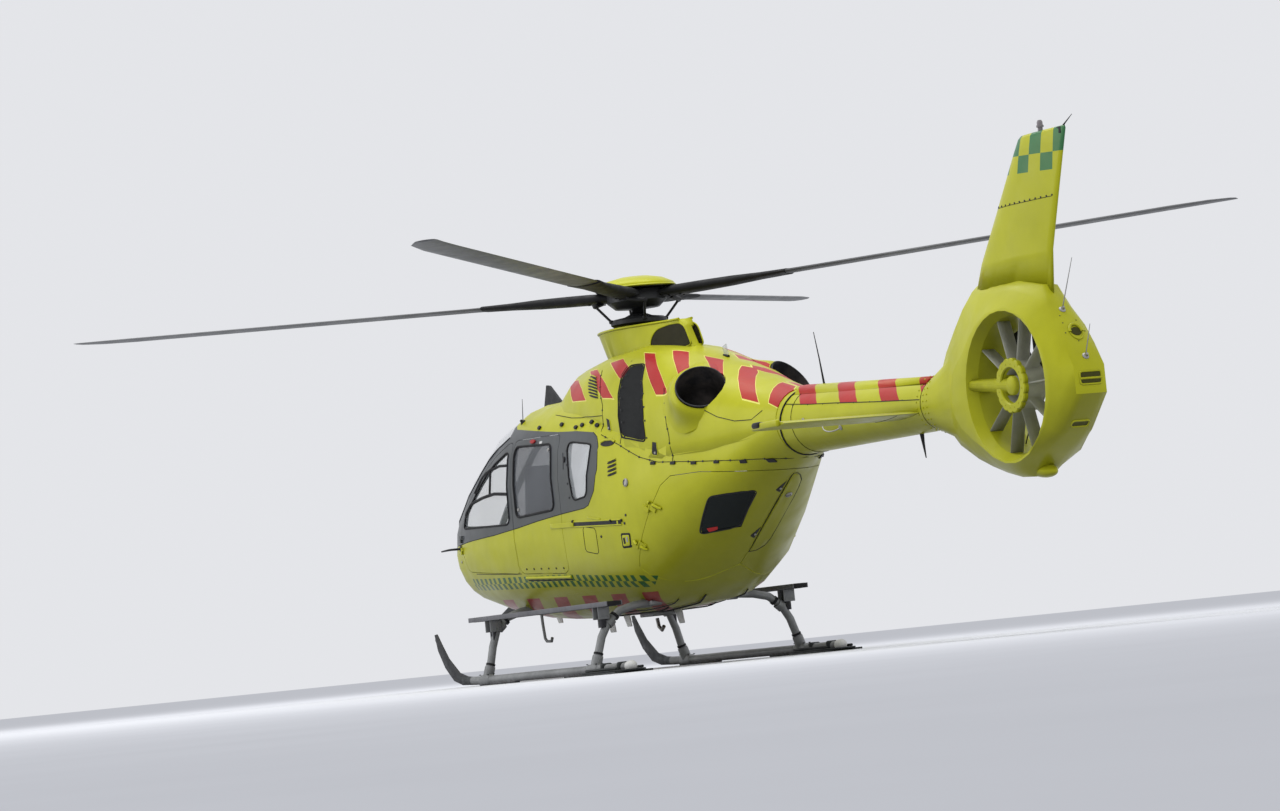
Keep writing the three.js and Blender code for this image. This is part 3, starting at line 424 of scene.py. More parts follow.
def skid_colour(f):
    """Grey tubes with a black pad at the rear, scuffed undersides and painted shade on faces that look down."""
    station = f.station
    pad = f.all(f.under(f.z, 0.0175), f.over(station, 3.72))
    scuff = f.all(f.under(f.z, 0.03), f.over(f.noise(30.0, 6.0, 0.7), 0.5))
    body = f.mix(f.sum("MULTIPLY", scuff, 0.7), f.worn(paint("gear"), 0.25, 5.0), (0.12, 0.11, 0.10))
    toe = f.spread(station, 1.24, 1.27, 1.0, 0.0)
    return f.under_grime(f.mix(f.any(pad, toe), body, (0.034, 0.038, 0.038)), 0.5)


def blade_colour(f):
    """Composite blade: black cuff and grey skin."""
    reach = f.radius(f.x, f.sum("ADD", f.y, -(MAST + AFT)))
    return f.worn(f.mix(f.spread(reach, 1.1, 2.4), (0.03, 0.03, 0.032), paint("blade")), 0.22, 2.2)


def scorched_colour(f):
    """Brown over black steel."""
    return f.mix(f.spread(f.noise(6.0, 4.0, 0.6), 0.35, 0.7), (0.012, 0.012, 0.013), (0.045, 0.038, 0.034))


def glazing(name, colour, alpha, rough=0.03, gloss=0.5):
    """Acrylic glass with faint smears."""
    f = Finish(name, rough=rough, Alpha=alpha, Specular_IOR_Level=gloss)
    smear = f.spread(f.noise(2.2, 4.0, 0.6), 0.35, 0.75, 1.0, 1.7)
    f.set("Base Color", f.mix(1.0, colour, smear, "MULTIPLY"))
    f.uneven(14.0, rough, rough + 0.06, 0.4, 0.8)
    f.bump(f.noise(1.1, 1.0), 0.12, 0.01)
    return f.material


def metal_paint(name, colour, rough=0.42, metal=0.25, chips=(0.32, 0.32, 0.31)):
    """Satin paint on metal with chips on its edges, rubbed places and painted shade on faces that look down. colour
    can name one of the colours.
    """
    f = Finish(name, rough=rough, metal=metal)
    chip = f.spread(f.noise(34.0, 6.0, 0.65), 0.66, 0.72)
    body = f.worn(paint(colour) if isinstance(colour, str) else colour, 0.22, 6.0)
    f.set("Base Color", f.under_grime(f.mix(f.sum("MULTIPLY", chip, 0.35), body, chips), 0.55))
    f.uneven(18.0, rough - 0.08, rough + 0.16)
    f.bump(f.noise(120.0, 3.0), 0.10, 0.002)
    return f.material


def moulded(name, colour, rough=0.55, grain=420.0):
    """Moulded rubber or plastic with a fine grain."""
    f = Finish(name, rough=rough)
    f.set("Base Color", f.worn(colour, 0.2, 7.0))
    f.uneven(12.0, rough - 0.1, rough + 0.12)
    f.bump(f.noise(grain, 2.0), 0.25, 0.0015)
    return f.material


def wire_mesh(name, wire, gap, pitch):
    """Woven wire in front of a dark hollow."""
    f = Finish(name, rough=0.55, metal=0.4)
    u = f.sum("PINGPONG", f.sum("ADD", f.y, f.z), pitch)
    v = f.sum("PINGPONG", f.sum("SUBTRACT", f.y, f.z), pitch)
    wires = f.any(f.under(u, pitch * 0.3), f.under(v, pitch * 0.3))
    f.set("Base Color", f.mix(wires, gap, f.worn(wire, 0.3, 8.0)))
    f.bump(wires, 0.6, 0.003)
    return f.material


def woven(name, colour, pitch=0.004):
    """Coarse cloth with warp and weft."""
    f = Finish(name, rough=0.9, Sheen_Weight=0.35, Sheen_Roughness=0.6)
    warp = f.sum("PINGPONG", f.sum("ADD", f.x, f.z), pitch)
    weft = f.sum("PINGPONG", f.sum("ADD", f.y, f.z), pitch)
    thread = f.sum("MAXIMUM", f.sum("DIVIDE", warp, pitch), f.sum("DIVIDE", weft, pitch))
    f.set("Base Color", f.mix(1.0, f.worn(colour, 0.25, 9.0), f.spread(thread, 0.0, 1.0, 0.7, 1.15), "MULTIPLY"))
    f.bump(thread, 0.5, 0.002)
    return f.material


# Finishes by the record's material slot, each with its maker and the values that it takes
FINISH_TABLE = {
    "yellow_body": {"pod_paint": (gloss_paint, pod_colour), "plain_paint": (gloss_paint, lambda f: paint("lime"))},
    "yellow_composite": {
        "cowl_paint": (gloss_paint, cowl_colour),
        "cover_paint": (gloss_paint, cover_colour),
        "fin_paint": (gloss_paint, fin_colour, 0.85),
        "cap_paint": (gloss_paint, cap_colour),
        # dark olive: painted shade inside the slots and the scoop on the shroud's back
        "slot_shade": (moulded, (0.055, 0.055, 0.008), 0.6, 90.0),
    },
    "yellow_boom": {"boom_paint": (gloss_paint, boom_colour)},
    "grey_vanes": {
        "vane_paint": (surface, vane_colour, 0.1, (18.0, 0.34, 0.55), (120.0, 3.0, 0.08, 0.002)),
        "pale_plastic": (moulded, (0.62, 0.62, 0.60), 0.4, 300.0),
    },
    "tinted_glass": {
        "tinted_acrylic": (glazing, (0.06, 0.066, 0.074), 0.62),
        "dark_acrylic": (glazing, (0.004, 0.006, 0.006), 0.98, 0.08, 0.12),
        "beacon_lens": (moulded, (0.25, 0.23, 0.24), 0.3, 500.0),
    },
    "clear_glass": {
        "clear_acrylic": (glazing, (0.30, 0.33, 0.34), 0.12),
        "pale_acrylic": (glazing, (0.36, 0.38, 0.39), 0.38),
    },
    "grey_blade": {"blade_skin": (surface, blade_colour, 0.0, (7.0, 0.34, 0.5), (60.0, 3.0, 0.08, 0.002))},
    "grey_gear": {
        "skid_paint": (surface, skid_colour, 0.2, (18.0, 0.36, 0.6), (110.0, 3.0, 0.12, 0.002)),
        "gear_paint": (metal_paint, "gear"),
        "step_paint": (metal_paint, (0.155, 0.155, 0.165), 0.5),
    },
    "grey_steel": {"bare_steel": (metal_paint, (0.38, 0.37, 0.35), 0.35, 0.85)},
    "grey_floor": {"floor_rubber": (moulded, (0.07, 0.072, 0.075), 0.7, 140.0)},
    "dark_fabric": {
        "webbing": (woven, (0.10, 0.10, 0.095), 0.002),
        "seat_cloth": (woven, (0.030, 0.036, 0.046)),
        "mattress_cloth": (woven, (0.05, 0.06, 0.09)),
    },
    "black_plastic": {
        "black_rubber": (moulded, (0.014, 0.014, 0.015), 0.6),
        "black_plastic": (moulded, (0.018, 0.018, 0.019), 0.45, 300.0),
        "paw_plastic": (moulded, (0.030, 0.034, 0.034), 0.5, 160.0),
        "red_plastic": (moulded, (0.36, 0.02, 0.02), 0.4, 300.0),
        "dash_plastic": (moulded, (0.022, 0.024, 0.027), 0.7, 240.0),
        "intake_mesh": (wire_mesh, (0.018, 0.02, 0.02), (0.003, 0.003, 0.003), 0.006),
        "collar_mesh": (wire_mesh, (0.050, 0.046, 0.020), (0.008, 0.007, 0.004), 0.005),
    },
    "engine_alloy": {"engine_alloy": (metal_paint, (0.16, 0.16, 0.17), 0.4, 0.7)},
    "dark_steel": {
        "dark_steel": (metal_paint, (0.045, 0.046, 0.048), 0.45, 0.5),
        "scorched_steel": (surface, scorched_colour, 0.75, (20.0, 0.4, 0.65), (90.0, 3.0, 0.12, 0.002)),
    },
}
RECIPES = {name: recipe for group in FINISH_TABLE.values() for name, recipe in group.items()}


# Shaping

def let_go():
    """Out of edit mode with nothing selected."""
    if bpy.context.object and bpy.context.object.mode != "OBJECT":
        bpy.ops.object.mode_set(mode="OBJECT")
    bpy.ops.object.select_all(action="DESELECT")


def take(piece):
    let_go()
    piece.select_set(True)
    bpy.context.view_layer.objects.active = piece
    return piece


def edited(piece, *steps):
    """Runs edit-mode steps on the whole of a piece."""
    take(piece)
    bpy.ops.object.mode_set(mode="EDIT")
    for step in steps:
        bpy.ops.mesh.select_all(action="SELECT")
        step()
    bpy.ops.object.mode_set(mode="OBJECT")
    return piece


def weld():
    bpy.ops.mesh.remove_doubles(threshold=0.00002)


def outwards():
    bpy.ops.mesh.normals_make_consistent(inside=False)


def modified(piece, kind, **values):
    """Applies one modifier to a piece."""
    mod = piece.modifiers.new(kind.lower(), kind)
    for name, value in values.items():
        setattr(mod, name, value)
    take(piece)
    bpy.ops.object.modifier_apply(modifier=mod.name)
    return piece


def linked(name, data):
    """A new object in the scene with that mesh, lamp or camera."""
    piece = bpy.data.objects.new(name, data)
    bpy.context.scene.collection.objects.link(piece)
    return piece


def net(name, points, faces):
    """An object made of points and the faces between them."""
    mesh = bpy.data.meshes.new(name)
    mesh.from_pydata([tuple(p) for p in points], [], faces)
    return linked(name, mesh)


def quads(rows, columns, round_rows=False, round_columns=True):
    """Faces between rows of points. Rows and columns can each run round to the first."""
    return [
        tuple(
            row % rows * columns + column % columns
            for row, column in ((i, k), (i, k + 1), (i + 1, k + 1), (i + 1, k))
        )
        for i in range(rows - (not round_rows)) for k in range(columns - (not round_columns))
    ]


def circle(count, start=0.0):
    """Cosine and sine of each step round a circle."""
    return [(math.cos(a), math.sin(a)) for a in (2 * math.pi * (k + start) / count for k in range(count))]


def facing(spot, normal):
    """Moves a piece from the origin to spot and turns its Z to normal."""
    return Matrix.Translation(spot) @ Vector(normal).to_track_quat("Z", "Y").to_matrix().to_4x4()


def dressed(piece, name, material, body):
    """A piece with its name, its finish and its body."""
    piece.name = piece.data.name = name
    piece.data.materials.clear()
    piece.data.materials.append(finish(material))
    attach(piece, body)
    return piece


def settle(piece, name, material, body="airframe", angle=35.0):
    """A finished piece: placed in its mesh, welded, smoothed, dressed and riding on its body."""
    take(piece)
    bpy.ops.object.transform_apply(location=True, rotation=True, scale=True)
    edited(piece, weld, outwards)
    bpy.ops.object.shade_smooth_by_angle(angle=math.radians(angle))
    return dressed(piece, name, material, body)


def tube(name, points, radius, material, body="airframe", closed=False, sides=2, radii=None):
    """A round bar through points."""
    let_go()
    bpy.ops.curve.primitive_nurbs_path_add()
    curve = bpy.context.active_object.data
    curve.splines.clear()
    spline = curve.splines.new("POLY")
    spline.points.add(len(points) - 1)
    for knot, point, share in zip(spline.points, points, radii or [1.0] * len(points)):
        knot.co = (*point, 1.0)
        knot.radius = share
    spline.use_cyclic_u = closed
    curve.bevel_depth = radius
    curve.bevel_resolution = sides
    curve.use_fill_caps = not closed
    bpy.ops.object.convert(target="MESH")
    return settle(bpy.context.active_object, name, material, body, 50.0)


def rounded_block(name, centre, size, material, body="airframe", turn=None, bevel=0.2):
    """A block with rounded edges, as wide, long and high as size."""
    let_go()
    bpy.ops.mesh.primitive_cube_add(size=1.0)
    piece = bpy.context.active_object
    turn = turn.to_4x4() if turn else Matrix.Identity(4)
    piece.data.transform(Matrix.Translation(centre) @ turn @ Matrix.Diagonal((*size, 1.0)))
    modified(piece, "BEVEL", width=min(size) * bevel, segments=3, limit_method="NONE")
    return settle(piece, name, material, body, 40.0)


def blocks(name, spots, size, material, bevel=0.2):
    """Rounded blocks of one size, numbered from 1."""
    for number, spot in enumerate(spots):
        rounded_block(f"{name}_{number + 1}", spot, size, material, bevel=bevel)


def turned(name, profile, centre, axis, material, body="airframe", steps=32):
    """A turned piece: profile as radius and distance along axis, spun about it."""
    let_go()
    bpy.ops.mesh.primitive_plane_add(size=1.0)
    piece = bpy.context.active_object
    mesh = bmesh.new()
    ring = [mesh.verts.new((r, 0.0, along)) for r, along in profile]
    for a, b in zip(ring, ring[1:]):
        mesh.edges.new((a, b))
    mesh.to_mesh(piece.data)
    mesh.free()
    edited(piece, lambda: bpy.ops.mesh.spin(steps=steps, angle=2 * math.pi, center=(0, 0, 0), axis=(0, 0, 1)), weld)
    piece.data.transform(facing(centre, axis))
    return settle(piece, name, material, body)


def joined(name, pieces, material, body="airframe"):
    """Several like pieces as one object."""
    take(pieces[0])
    for piece in pieces:
        piece.select_set(True)
    bpy.ops.object.join()
    made = bpy.context.active_object
    made.parent = None
    return dressed(made, name, material, body)


TREES = {}


def tree_of(mesh):
    return BVHTree.FromPolygons([v.co for v in mesh.vertices], [p.vertices[:] for p in mesh.polygons])


def skin_of(node):
    """The tree of a node's faces, made once."""
    if node not in TREES:
        TREES[node] = tree_of(frame["nodes"][node].data)
    return TREES[node]


POD_NODES = tuple(n for n in frame["nodes"] if n.startswith(
    (
        "cabin_structure", "nose_shell", "belly_shell", "front_door", "sliding_door", "rear_door", "side_window",
        "windscreen", "cowling",
    )))


def land(start, direction, nodes=POD_NODES):
    """Where a ray first meets the nodes: the point and its outward normal."""
    best = None
    for node in nodes:
        point, normal, _, distance = skin_of(node).ray_cast(Vector(start), Vector(direction))
        if point is not None and (best is None or distance < best[2]):
            best = (point, normal, distance)
    if best is None:
        raise RuntimeError(f"nothing to land on at {tuple(start)}")
    normal = best[1] if best[1].dot(Vector(direction)) < 0 else -best[1]
    return best[0], normal


def form_at(station, height, forms=(POD, COWL)):
    """Half width of the outer form at a station and height, and the rows that give it."""
    best = (0.0, forms[0])
    for rows in forms:
        if rows[0][0] <= station <= rows[-1][0]:
            half, rise, power = rise_at(rows, station, height)
            if rise < 1.0:
                best = max(best, (half * (1.0 - rise ** power) ** (1.0 / power), rows), key=lambda found: found[0])
    return best


def on_side(station, height, sign=1, nodes=POD_NODES, forms=(POD, COWL)):
    """The skin at a station and height, and its outward direction."""
    x, rows = form_at(station, height, forms)
    guess = place(sign * x, station, height)
    found = (guess, 0.03)
    for node in nodes or ():
        point, _, _, distance = skin_of(node).find_nearest(guess)
        if point is not None and distance < found[1]:
            found = (point, distance)
    return found[0], skin_normal(rows, guess)


def softened(points, radius, closed=True, steps=4):
    """An outline with its corners rounded."""
    made = []
    count = len(points)
    for index, here in enumerate(points):
        if not closed and index in (0, count - 1):
            made.append(tuple(here))
            continue
        before = Vector(points[index - 1])
        after = Vector(points[(index + 1) % count])
        here = Vector(here)
        reach_in = min(radius, (before - here).length / 2.1)
        reach_out = min(radius, (after - here).length / 2.1)
        start = here + (before - here).normalized() * reach_in
        end = here + (after - here).normalized() * reach_out
        for k in range(steps + 1):
            t = k / steps
            made.append(tuple(start * (1 - t) ** 2 + here * 2 * t * (1 - t) + end * t ** 2))
    return made


def traced(points, sign, closed=False, lift=0.0, pitch=0.04, seat=None):
    """Points along a line on the skin, given as station and height."""
    seat = seat or (lambda s, z: on_side(s, z, sign))
    line = list(points) + ([points[0]] if closed else [])
    made = []
    for (s0, z0), (s1, z1) in zip(line, line[1:]):
        steps = max(1, round(math.hypot(s1 - s0, z1 - z0) / pitch))
        made += [(s0 + (s1 - s0) * k / steps, z0 + (z1 - z0) * k / steps) for k in range(steps)]
    if not closed:
        made.append(line[-1])
    return [point + normal * lift for point, normal in (seat(*spot) for spot in made)]


def line_on_side(
    name, points, sign, radius, material, closed=False, body="airframe", lift=0.0, pitch=0.04, sides=1, seat=None,
):
    """A thin bar that lies along a line on the skin."""
    return tube(name, traced(points, sign, closed, lift, pitch, seat), radius, material, body, closed, sides)


def studs(name, places, radius, material, body="airframe", height=None):
    """Fastener heads at places, each a point and a normal. One is made and then copied."""
    height = height or radius * 0.7
    let_go()
    bpy.ops.mesh.primitive_cylinder_add(vertices=10, radius=radius, depth=height)
    first = modified(bpy.context.active_object, "BEVEL", width=height * 0.3, segments=1)
    pieces = []
    for point, normal in places:
        pieces.append(linked("head", first.data.copy()))
        pieces[-1].data.transform(facing(point + normal * height * 0.2, normal))
    bpy.data.objects.remove(first)
    made = take(joined(name, pieces, material, body))
    bpy.ops.object.shade_smooth_by_angle(angle=math.radians(35))
    return made


def patch(name, outline, sign, thickness, material, body="airframe", rings=3, lift=0.0, bevel=0.3, seat=None):
    """A thin sheet on the skin inside an outline of stations and heights."""
    seat = seat or (lambda s, z: on_side(s, z, sign))
    count = len(outline)
    middle = Vector((sum(p[0] for p in outline) / count, sum(p[1] for p in outline) / count))
    spots = [middle + (Vector(spot) - middle) * (1.0 - ring / rings) for ring in range(rings) for spot in outline]
    points = []
    for spot in (*spots, middle):
        point, outward = seat(spot.x, spot.y)
        points.append(point + outward * lift)
    inner = (rings - 1) * count
    faces = quads(rings, count) + [(inner + k, inner + (k + 1) % count, inner + count) for k in range(count)]
    return sheet(name, points, faces, outward, thickness, material, body, bevel)


def sheet(name, points, faces, outward, thickness, material, body="airframe", bevel=0.3):
    """A wall of even thickness on a surface, raised towards outward."""
    piece = edited(net(name, points, faces), weld, outwards)
    if sum(p.normal.dot(outward) * p.area for p in piece.data.polygons) < 0:
        edited(piece, bpy.ops.mesh.flip_normals)
    modified(piece, "SOLIDIFY", thickness=thickness, offset=1.0)
    if bevel:
        modified(piece, "BEVEL", width=thickness * bevel, segments=2, angle_limit=math.radians(50))
    return settle(piece, name, material, body)


def cut_plate(name, corners, through, material, bevel=0.004):
    """A flat plate: its outline's corners drawn through its thickness, with eased edges."""
    let_go()
    bpy.ops.mesh.primitive_circle_add(vertices=len(corners), radius=1.0, fill_type="NGON")
    piece = bpy.context.active_object
    for vertex, corner in zip(piece.data.vertices, corners):
        vertex.co = corner
    edited(piece, lambda: bpy.ops.mesh.extrude_region_move(TRANSFORM_OT_translate={"value": through}), outwards)
    modified(piece, "BEVEL", width=bevel, segments=2)
    return settle(piece, name, material, angle=30)


def oval(station, height, long, tall, lean=0.0, count=14):
    """An oval outline, its long axis turned by lean."""
    c, s = math.cos(lean), math.sin(lean)
    spots = [(long / 2 * a, tall / 2 * b) for a, b in circle(count)]
    return [(station + u * c - v * s, height + u * s + v * c) for u, v in spots]


def strip(start, end, wide):
    """A narrow outline along a line, with a point at least every 0.08 m."""
    (s0, z0), (s1, z1) = start, end
    along, up = s1 - s0, z1 - z0
    length = math.hypot(along, up)
    u, v = along / length * wide / 2, up / length * wide / 2
    steps = max(2, round(length / 0.08))
    shares = [k / steps for k in range(steps + 1)]
    there = [(s0 + v + along * t, z0 - u + up * t) for t in shares]
    return there + [(s1 - v - along * t, z1 + u - up * t) for t in shares]


def band(inner, outer, low, high):
    """The closed profile of a ring between two radii, from low to high along its axis."""
    return (inner, low), (outer, low), (outer, high), (inner, high), (inner, low)


def path(*spots):
    return [place(*spot) for spot in spots]


# Smooth skins over the CAD nodes

def section(rows, station):
    """The body's section at a station, by smooth curves through the rows."""
    last = len(rows) - 1
    k = 0
    while k < last - 1 and station > rows[k + 1][0]:
        k += 1
    a, b = rows[k], rows[k + 1]
    span = b[0] - a[0]
    t = min(max((station - a[0]) / span, 0.0), 1.0)
    before = rows[k - 1] if k > 0 else a
    after = rows[k + 2] if k + 2 <= last else b
    made = []
    for column in range(1, 7):
        slope = (b[column] - a[column]) / span
        lead = (b[column] - before[column]) / (b[0] - before[0]) if k > 0 else slope
        tail = (after[column] - a[column]) / (after[0] - a[0]) if k + 2 <= last else slope
        t2, t3 = t * t, t * t * t
        made.append((2 * t3 - 3 * t2 + 1) * a[column] + (t3 - 2 * t2 + t) * span * lead
                    + (3 * t2 - 2 * t3) * b[column] + (t3 - t2) * span * tail)
    return made


def rise_at(rows, station, height):
    """Half width of a section, the share of its height at that height, and its power there."""
    half, low, middle, high, power_high, power_low = section(rows, station)
    if height > middle:
        return half, (height - middle) / (high - middle), power_high
    return half, (middle - height) / (middle - low), power_low


def level(rows, x, station, height):
    """1 on the body's skin, less inside and more outside."""
    half, rise, power = rise_at(rows, station, height)
    return (abs(x / half) ** power + rise ** power) ** (1.0 / power)


def shifted(point):
    """A point as x, station and height."""
    return point.x, point.y - AFT, point.z


def skin_normal(rows, point):
    x, station, height = shifted(point)
    d = 0.004
    return Vector((
        level(rows, x + d, station, height) - level(rows, x - d, station, height),
        level(rows, x, station + d, height) - level(rows, x, station - d, height),
        level(rows, x, station, height + d) - level(rows, x, station, height - d),
    )).normalized()


def welded(node, material, suffix="skin", angle=35.0):
    """A welded, smoothed copy of a CAD node that stands for it."""
    source = frame["nodes"][node]
    piece = edited(linked(f"{node}_{suffix}", source.data.copy()), weld)
    bpy.ops.object.shade_smooth_by_angle(angle=math.radians(angle))
    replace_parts(dressed(piece, piece.name, material, source["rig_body"]), node)
    return piece


def fair(piece, *forms):
    """Outer faces take the normals of the smooth form they belong to."""
    mesh = piece.data
    corners = [Vector(n.vector) for n in mesh.corner_normals]
    cache = {}
    for face in mesh.polygons:
        centre = face.center
        station = centre.y - AFT
        chosen = None
        for rows in forms:
            if not rows[0][0] - 0.02 <= station <= rows[-1][0] + 0.02:
                continue
            away = abs(level(rows, *shifted(centre)) - 1.0) * max(section(rows, station)[0], 0.25)
            if away < 0.028 and face.normal.dot(skin_normal(rows, centre)) > 0.86 and (
                chosen is None or away < chosen[0]
            ):
                chosen = (away, rows)
        if chosen:
            for loop in face.loop_indices:
                key = (id(chosen[1]), mesh.loops[loop].vertex_index)
                if key not in cache:
                    cache[key] = skin_normal(chosen[1], mesh.vertices[key[1]].co)
                corners[loop] = cache[key]
        face.use_smooth = True
    mesh.normals_split_custom_set(corners)


def colour(name, description, default):
    return FloatVectorProperty(
        name=name, description=description, subtype="COLOR", size=3, default=default, min=0, max=1,
    )


def length(name, description, default):
    return FloatProperty(name=name, description=description, default=default, subtype="DISTANCE", unit="LENGTH")


class HelicopterColours(PropertyGroup):
    lime: colour("Lime", "Body paint", (0.43, 0.435, 0.016))
    red: colour("Red", "Warning blocks", (0.40, 0.014, 0.024))
    green: colour("Green", "Checks along the sill", (0.010, 0.115, 0.028))
    fin_green: colour("Fin green", "Checks on the fin", (0.03, 0.16, 0.07))
    band: colour("Band", "Window band", (0.064, 0.070, 0.086))
    gear: colour("Gear", "Landing gear tubes", (0.235, 0.24, 0.24))
    blade: colour("Blade", "Rotor blades", (0.12, 0.122, 0.125))


class HelicopterSizes(PropertyGroup):
    check_height: length("Check height", "Height of one check on the sill", 0.052)
    check_length: length("Check length", "Length of one check on the sill", 0.055)
    seal: length("Seal radius", "Radius of the rubber seals round the windows", 0.009)
    seam: length("Seam radius", "Radius of the sealed seams between panels", 0.0035)
    head: length("Fastener radius", "Radius of the fastener heads", 0.009)


class HelicopterStage(PropertyGroup):
    floor: colour("Floor", "Floor colour", (0.66, 0.67, 0.70))
    sky: FloatProperty(name="Surround", description="Strength of the pale surround", default=1.0)
    lens: FloatProperty(name="Lens", description="Focal length", default=129.7, unit="CAMERA")
    roll: FloatProperty(name="Roll", description="Lean of the camera", default=math.radians(-5.74), subtype="ANGLE")


class HELICOPTER_OT_skins(Operator):
    """Smooth painted skins over the body, the cowling and the tail"""
    bl_idname = "helicopter.skins"
    bl_label = "Painted skins"

    def execute(self, context):
        pod_parts = ["cabin_structure", "nose_shell", "belly_shell"]
        for side, _ in SIDES:
            pod_parts += [f"front_door_{side}", f"sliding_door_{side}", f"rear_door_{side}"]
        for node in pod_parts:
            fair(welded(node, "pod_paint"), POD)
        for node in ("cowling_front", "cowling_left", "cowling_right", "cowling_rear"):
            fair(welded(node, "cowl_paint"), COWL, POD)
        welded("pylon_fairing", "plain_paint", angle=45)
        welded("tail_boom", "boom_paint", angle=40)
        welded("shaft_cover", "cover_paint", angle=40)
        welded("fenestron_shroud", "plain_paint", angle=20)
        welded("vertical_fin", "fin_paint", angle=60)
        for side, _ in SIDES:
            welded(f"stabiliser_{side}", "plain_paint", angle=40)
        return {"FINISHED"}


class HELICOPTER_OT_kept_nodes(Operator):
    """Finishes of the nodes whose own shape is kept"""
    bl_idname = "helicopter.kept_nodes"
    bl_label = "Kept nodes"

    def execute(self, context):
        for side, sign in SIDES:
            fair(welded(f"intake_grille_{side}", "intake_mesh", "mesh"), COWL)
            welded(f"exhaust_{side}", "scorched_steel", "pipe", 50)
            welded(f"engine_{side}", "engine_alloy", "block")
            skid = welded(f"skid_{side}", "skid_paint", "tube", 40)
            for vertex in skid.data.vertices:
                flat = 1.0 - 0.78 * min(max((1.32 - (vertex.co.y - AFT)) / 0.30, 0.0), 1.0)
                vertex.co.x = sign * (SKID_LINE + (abs(vertex.co.x) - SKID_LINE) * flat)
            welded(f"step_{side}", "step_paint", "board", 30)
        for end in ("front", "rear"):
            welded(f"cross_tube_{end}", "gear_paint", "bow", 40)
        for end in ("upper", "lower"):
            welded(f"wire_cutter_{end}", "dark_steel", "blade", 20)
        for number in range(1, 5):
            welded(f"main_blade_{number}", "blade_skin", "skin", 35)
        for node, material, suffix, angle in (
            ("gearbox", "engine_alloy", "case", 35),
            ("cabin_floor", "floor_rubber", "deck", 35),
            ("instrument_panel", "dash_plastic", "shell", 35),
            ("rotor_hub", "dark_steel", "body", 35),
            ("rotor_cap", "cap_paint", "dome", 40),
            ("tail_rotor", "dark_steel", "wheel", 35),
            ("stator", "vane_paint", "ring", 35),
        ):
            welded(node, material, suffix, angle)
        return {"FINISHED"}


class HELICOPTER_OT_windows(Operator):
    """Window panes, their rubber seals and the rails of the front door windows"""
    bl_idname = "helicopter.windows"
    bl_label = "Windows"

    def execute(self, context):
        seal = context.scene.helicopter_sizes.seal
        for side, sign in SIDES:
            door = f"front_door_{side}"
            for node, material in (
                (f"windscreen_{side}", "clear_acrylic"),
                (f"front_door_glass_{side}", "clear_acrylic"),
                (f"sliding_door_glass_{side}", "tinted_acrylic"),
                (f"side_window_{side}", "pale_acrylic"),
            ):
                fair(welded(node, material, "pane"), POD)
            for name, line, radius, closed, body in (
                ("front_window_seal", softened(FRONT_WINDOW, 0.05), seal, True, door),
                ("sliding_window_seal", softened(SLIDING_WINDOW, 0.05), seal * 1.2, True, "airframe"),
                ("side_window_seal", softened(SIDE_WINDOW, 0.06), seal * 0.9, True, "airframe"),
                ("windscreen_seal", WINDSCREEN, seal * 0.8, False, "airframe"),
                ("front_window_upper_rail", UPPER_RAIL, 0.012, False, door),
                ("front_window_lower_rail", LOWER_RAIL, 0.014, False, door),
                ("front_window_post", ((1.49, 1.832), (1.505, 1.618)), 0.010, False, door),
            ):
                line_on_side(f"{name}_{side}", line, sign, radius, "black_rubber", closed, body, sides=2)
        leaf = "rear_door_left"
        fair(welded("rear_door_glass_left", "dark_acrylic", "pane"), POD)
        line_on_side(
            "rear_window_seal", softened(REAR_WINDOW, 0.04), 1, seal * 0.8, "black_rubber", True, leaf, sides=2,
        )
        tag = ((4.785, 1.045), (4.845, 1.06), (4.865, 1.082), (4.795, 1.075))
        patch("rear_window_tag", tag, 1, 0.002, "red_plastic", leaf, lift=0.001)
        return {"FINISHED"}


# Seams between panels, as stations and heights
SEAMS = {
    "front_door_sill_seam": ((0.971, 0.963), (1.45, 0.935), (1.965, 0.909)),
    "window_band_edge": BAND_LOW[1:],
    "window_band_rear_edge": BAND_REAR,
    "cowling_rear_seam": ((4.481, 2.245), (4.572, 2.098), (4.641, 1.846), (4.652, 1.63)),
    "intake_frame_seam": ((3.797, 2.535), (3.781, 2.42), (3.83, 2.296), (3.90, 2.0), (3.929, 1.85)),
    "cowling_front_seam": ((3.33, 2.50), (3.363, 2.471), (3.56, 2.193), (3.587, 1.98)),
    "cowling_shoulder_seam": ((2.60, 2.20), (2.95, 2.15), (3.33, 2.12), (3.56, 2.11)),
    "exhaust_panel_seam": ((5.02, 2.015), (5.188, 1.939), (5.38, 1.885), (5.566, 1.875), (5.671, 1.936)),
    "deck_seam": (
        (3.60, 1.955), (3.93, 1.838), (4.234, 1.716), (4.475, 1.653), (4.895, 1.615), (5.416, 1.573), (5.627, 1.558),
        (5.80, 1.534),
    ),
    "hatch_seam": (
        (3.327, 1.222), (3.50, 1.198), (3.52, 1.17), (3.515, 1.0), (3.49, 0.985), (3.31, 1.015), (3.29, 1.04),
        (3.30, 1.20), (3.327, 1.222),
    ),
    "pillar_seam": ((2.98, 1.86), (3.0, 1.72)),
}


DECK_CLIPS = ((4.66, 1.628), (4.895, 1.606), (5.148, 1.588), (5.414, 1.563), (5.624, 1.548), (4.42, 1.652))
ROOF_CLIPS = ((2.83, 2.105), (3.13, 2.055), (3.23, 2.065), (3.38, 2.075), (3.49, 2.04), (2.40, 2.115))


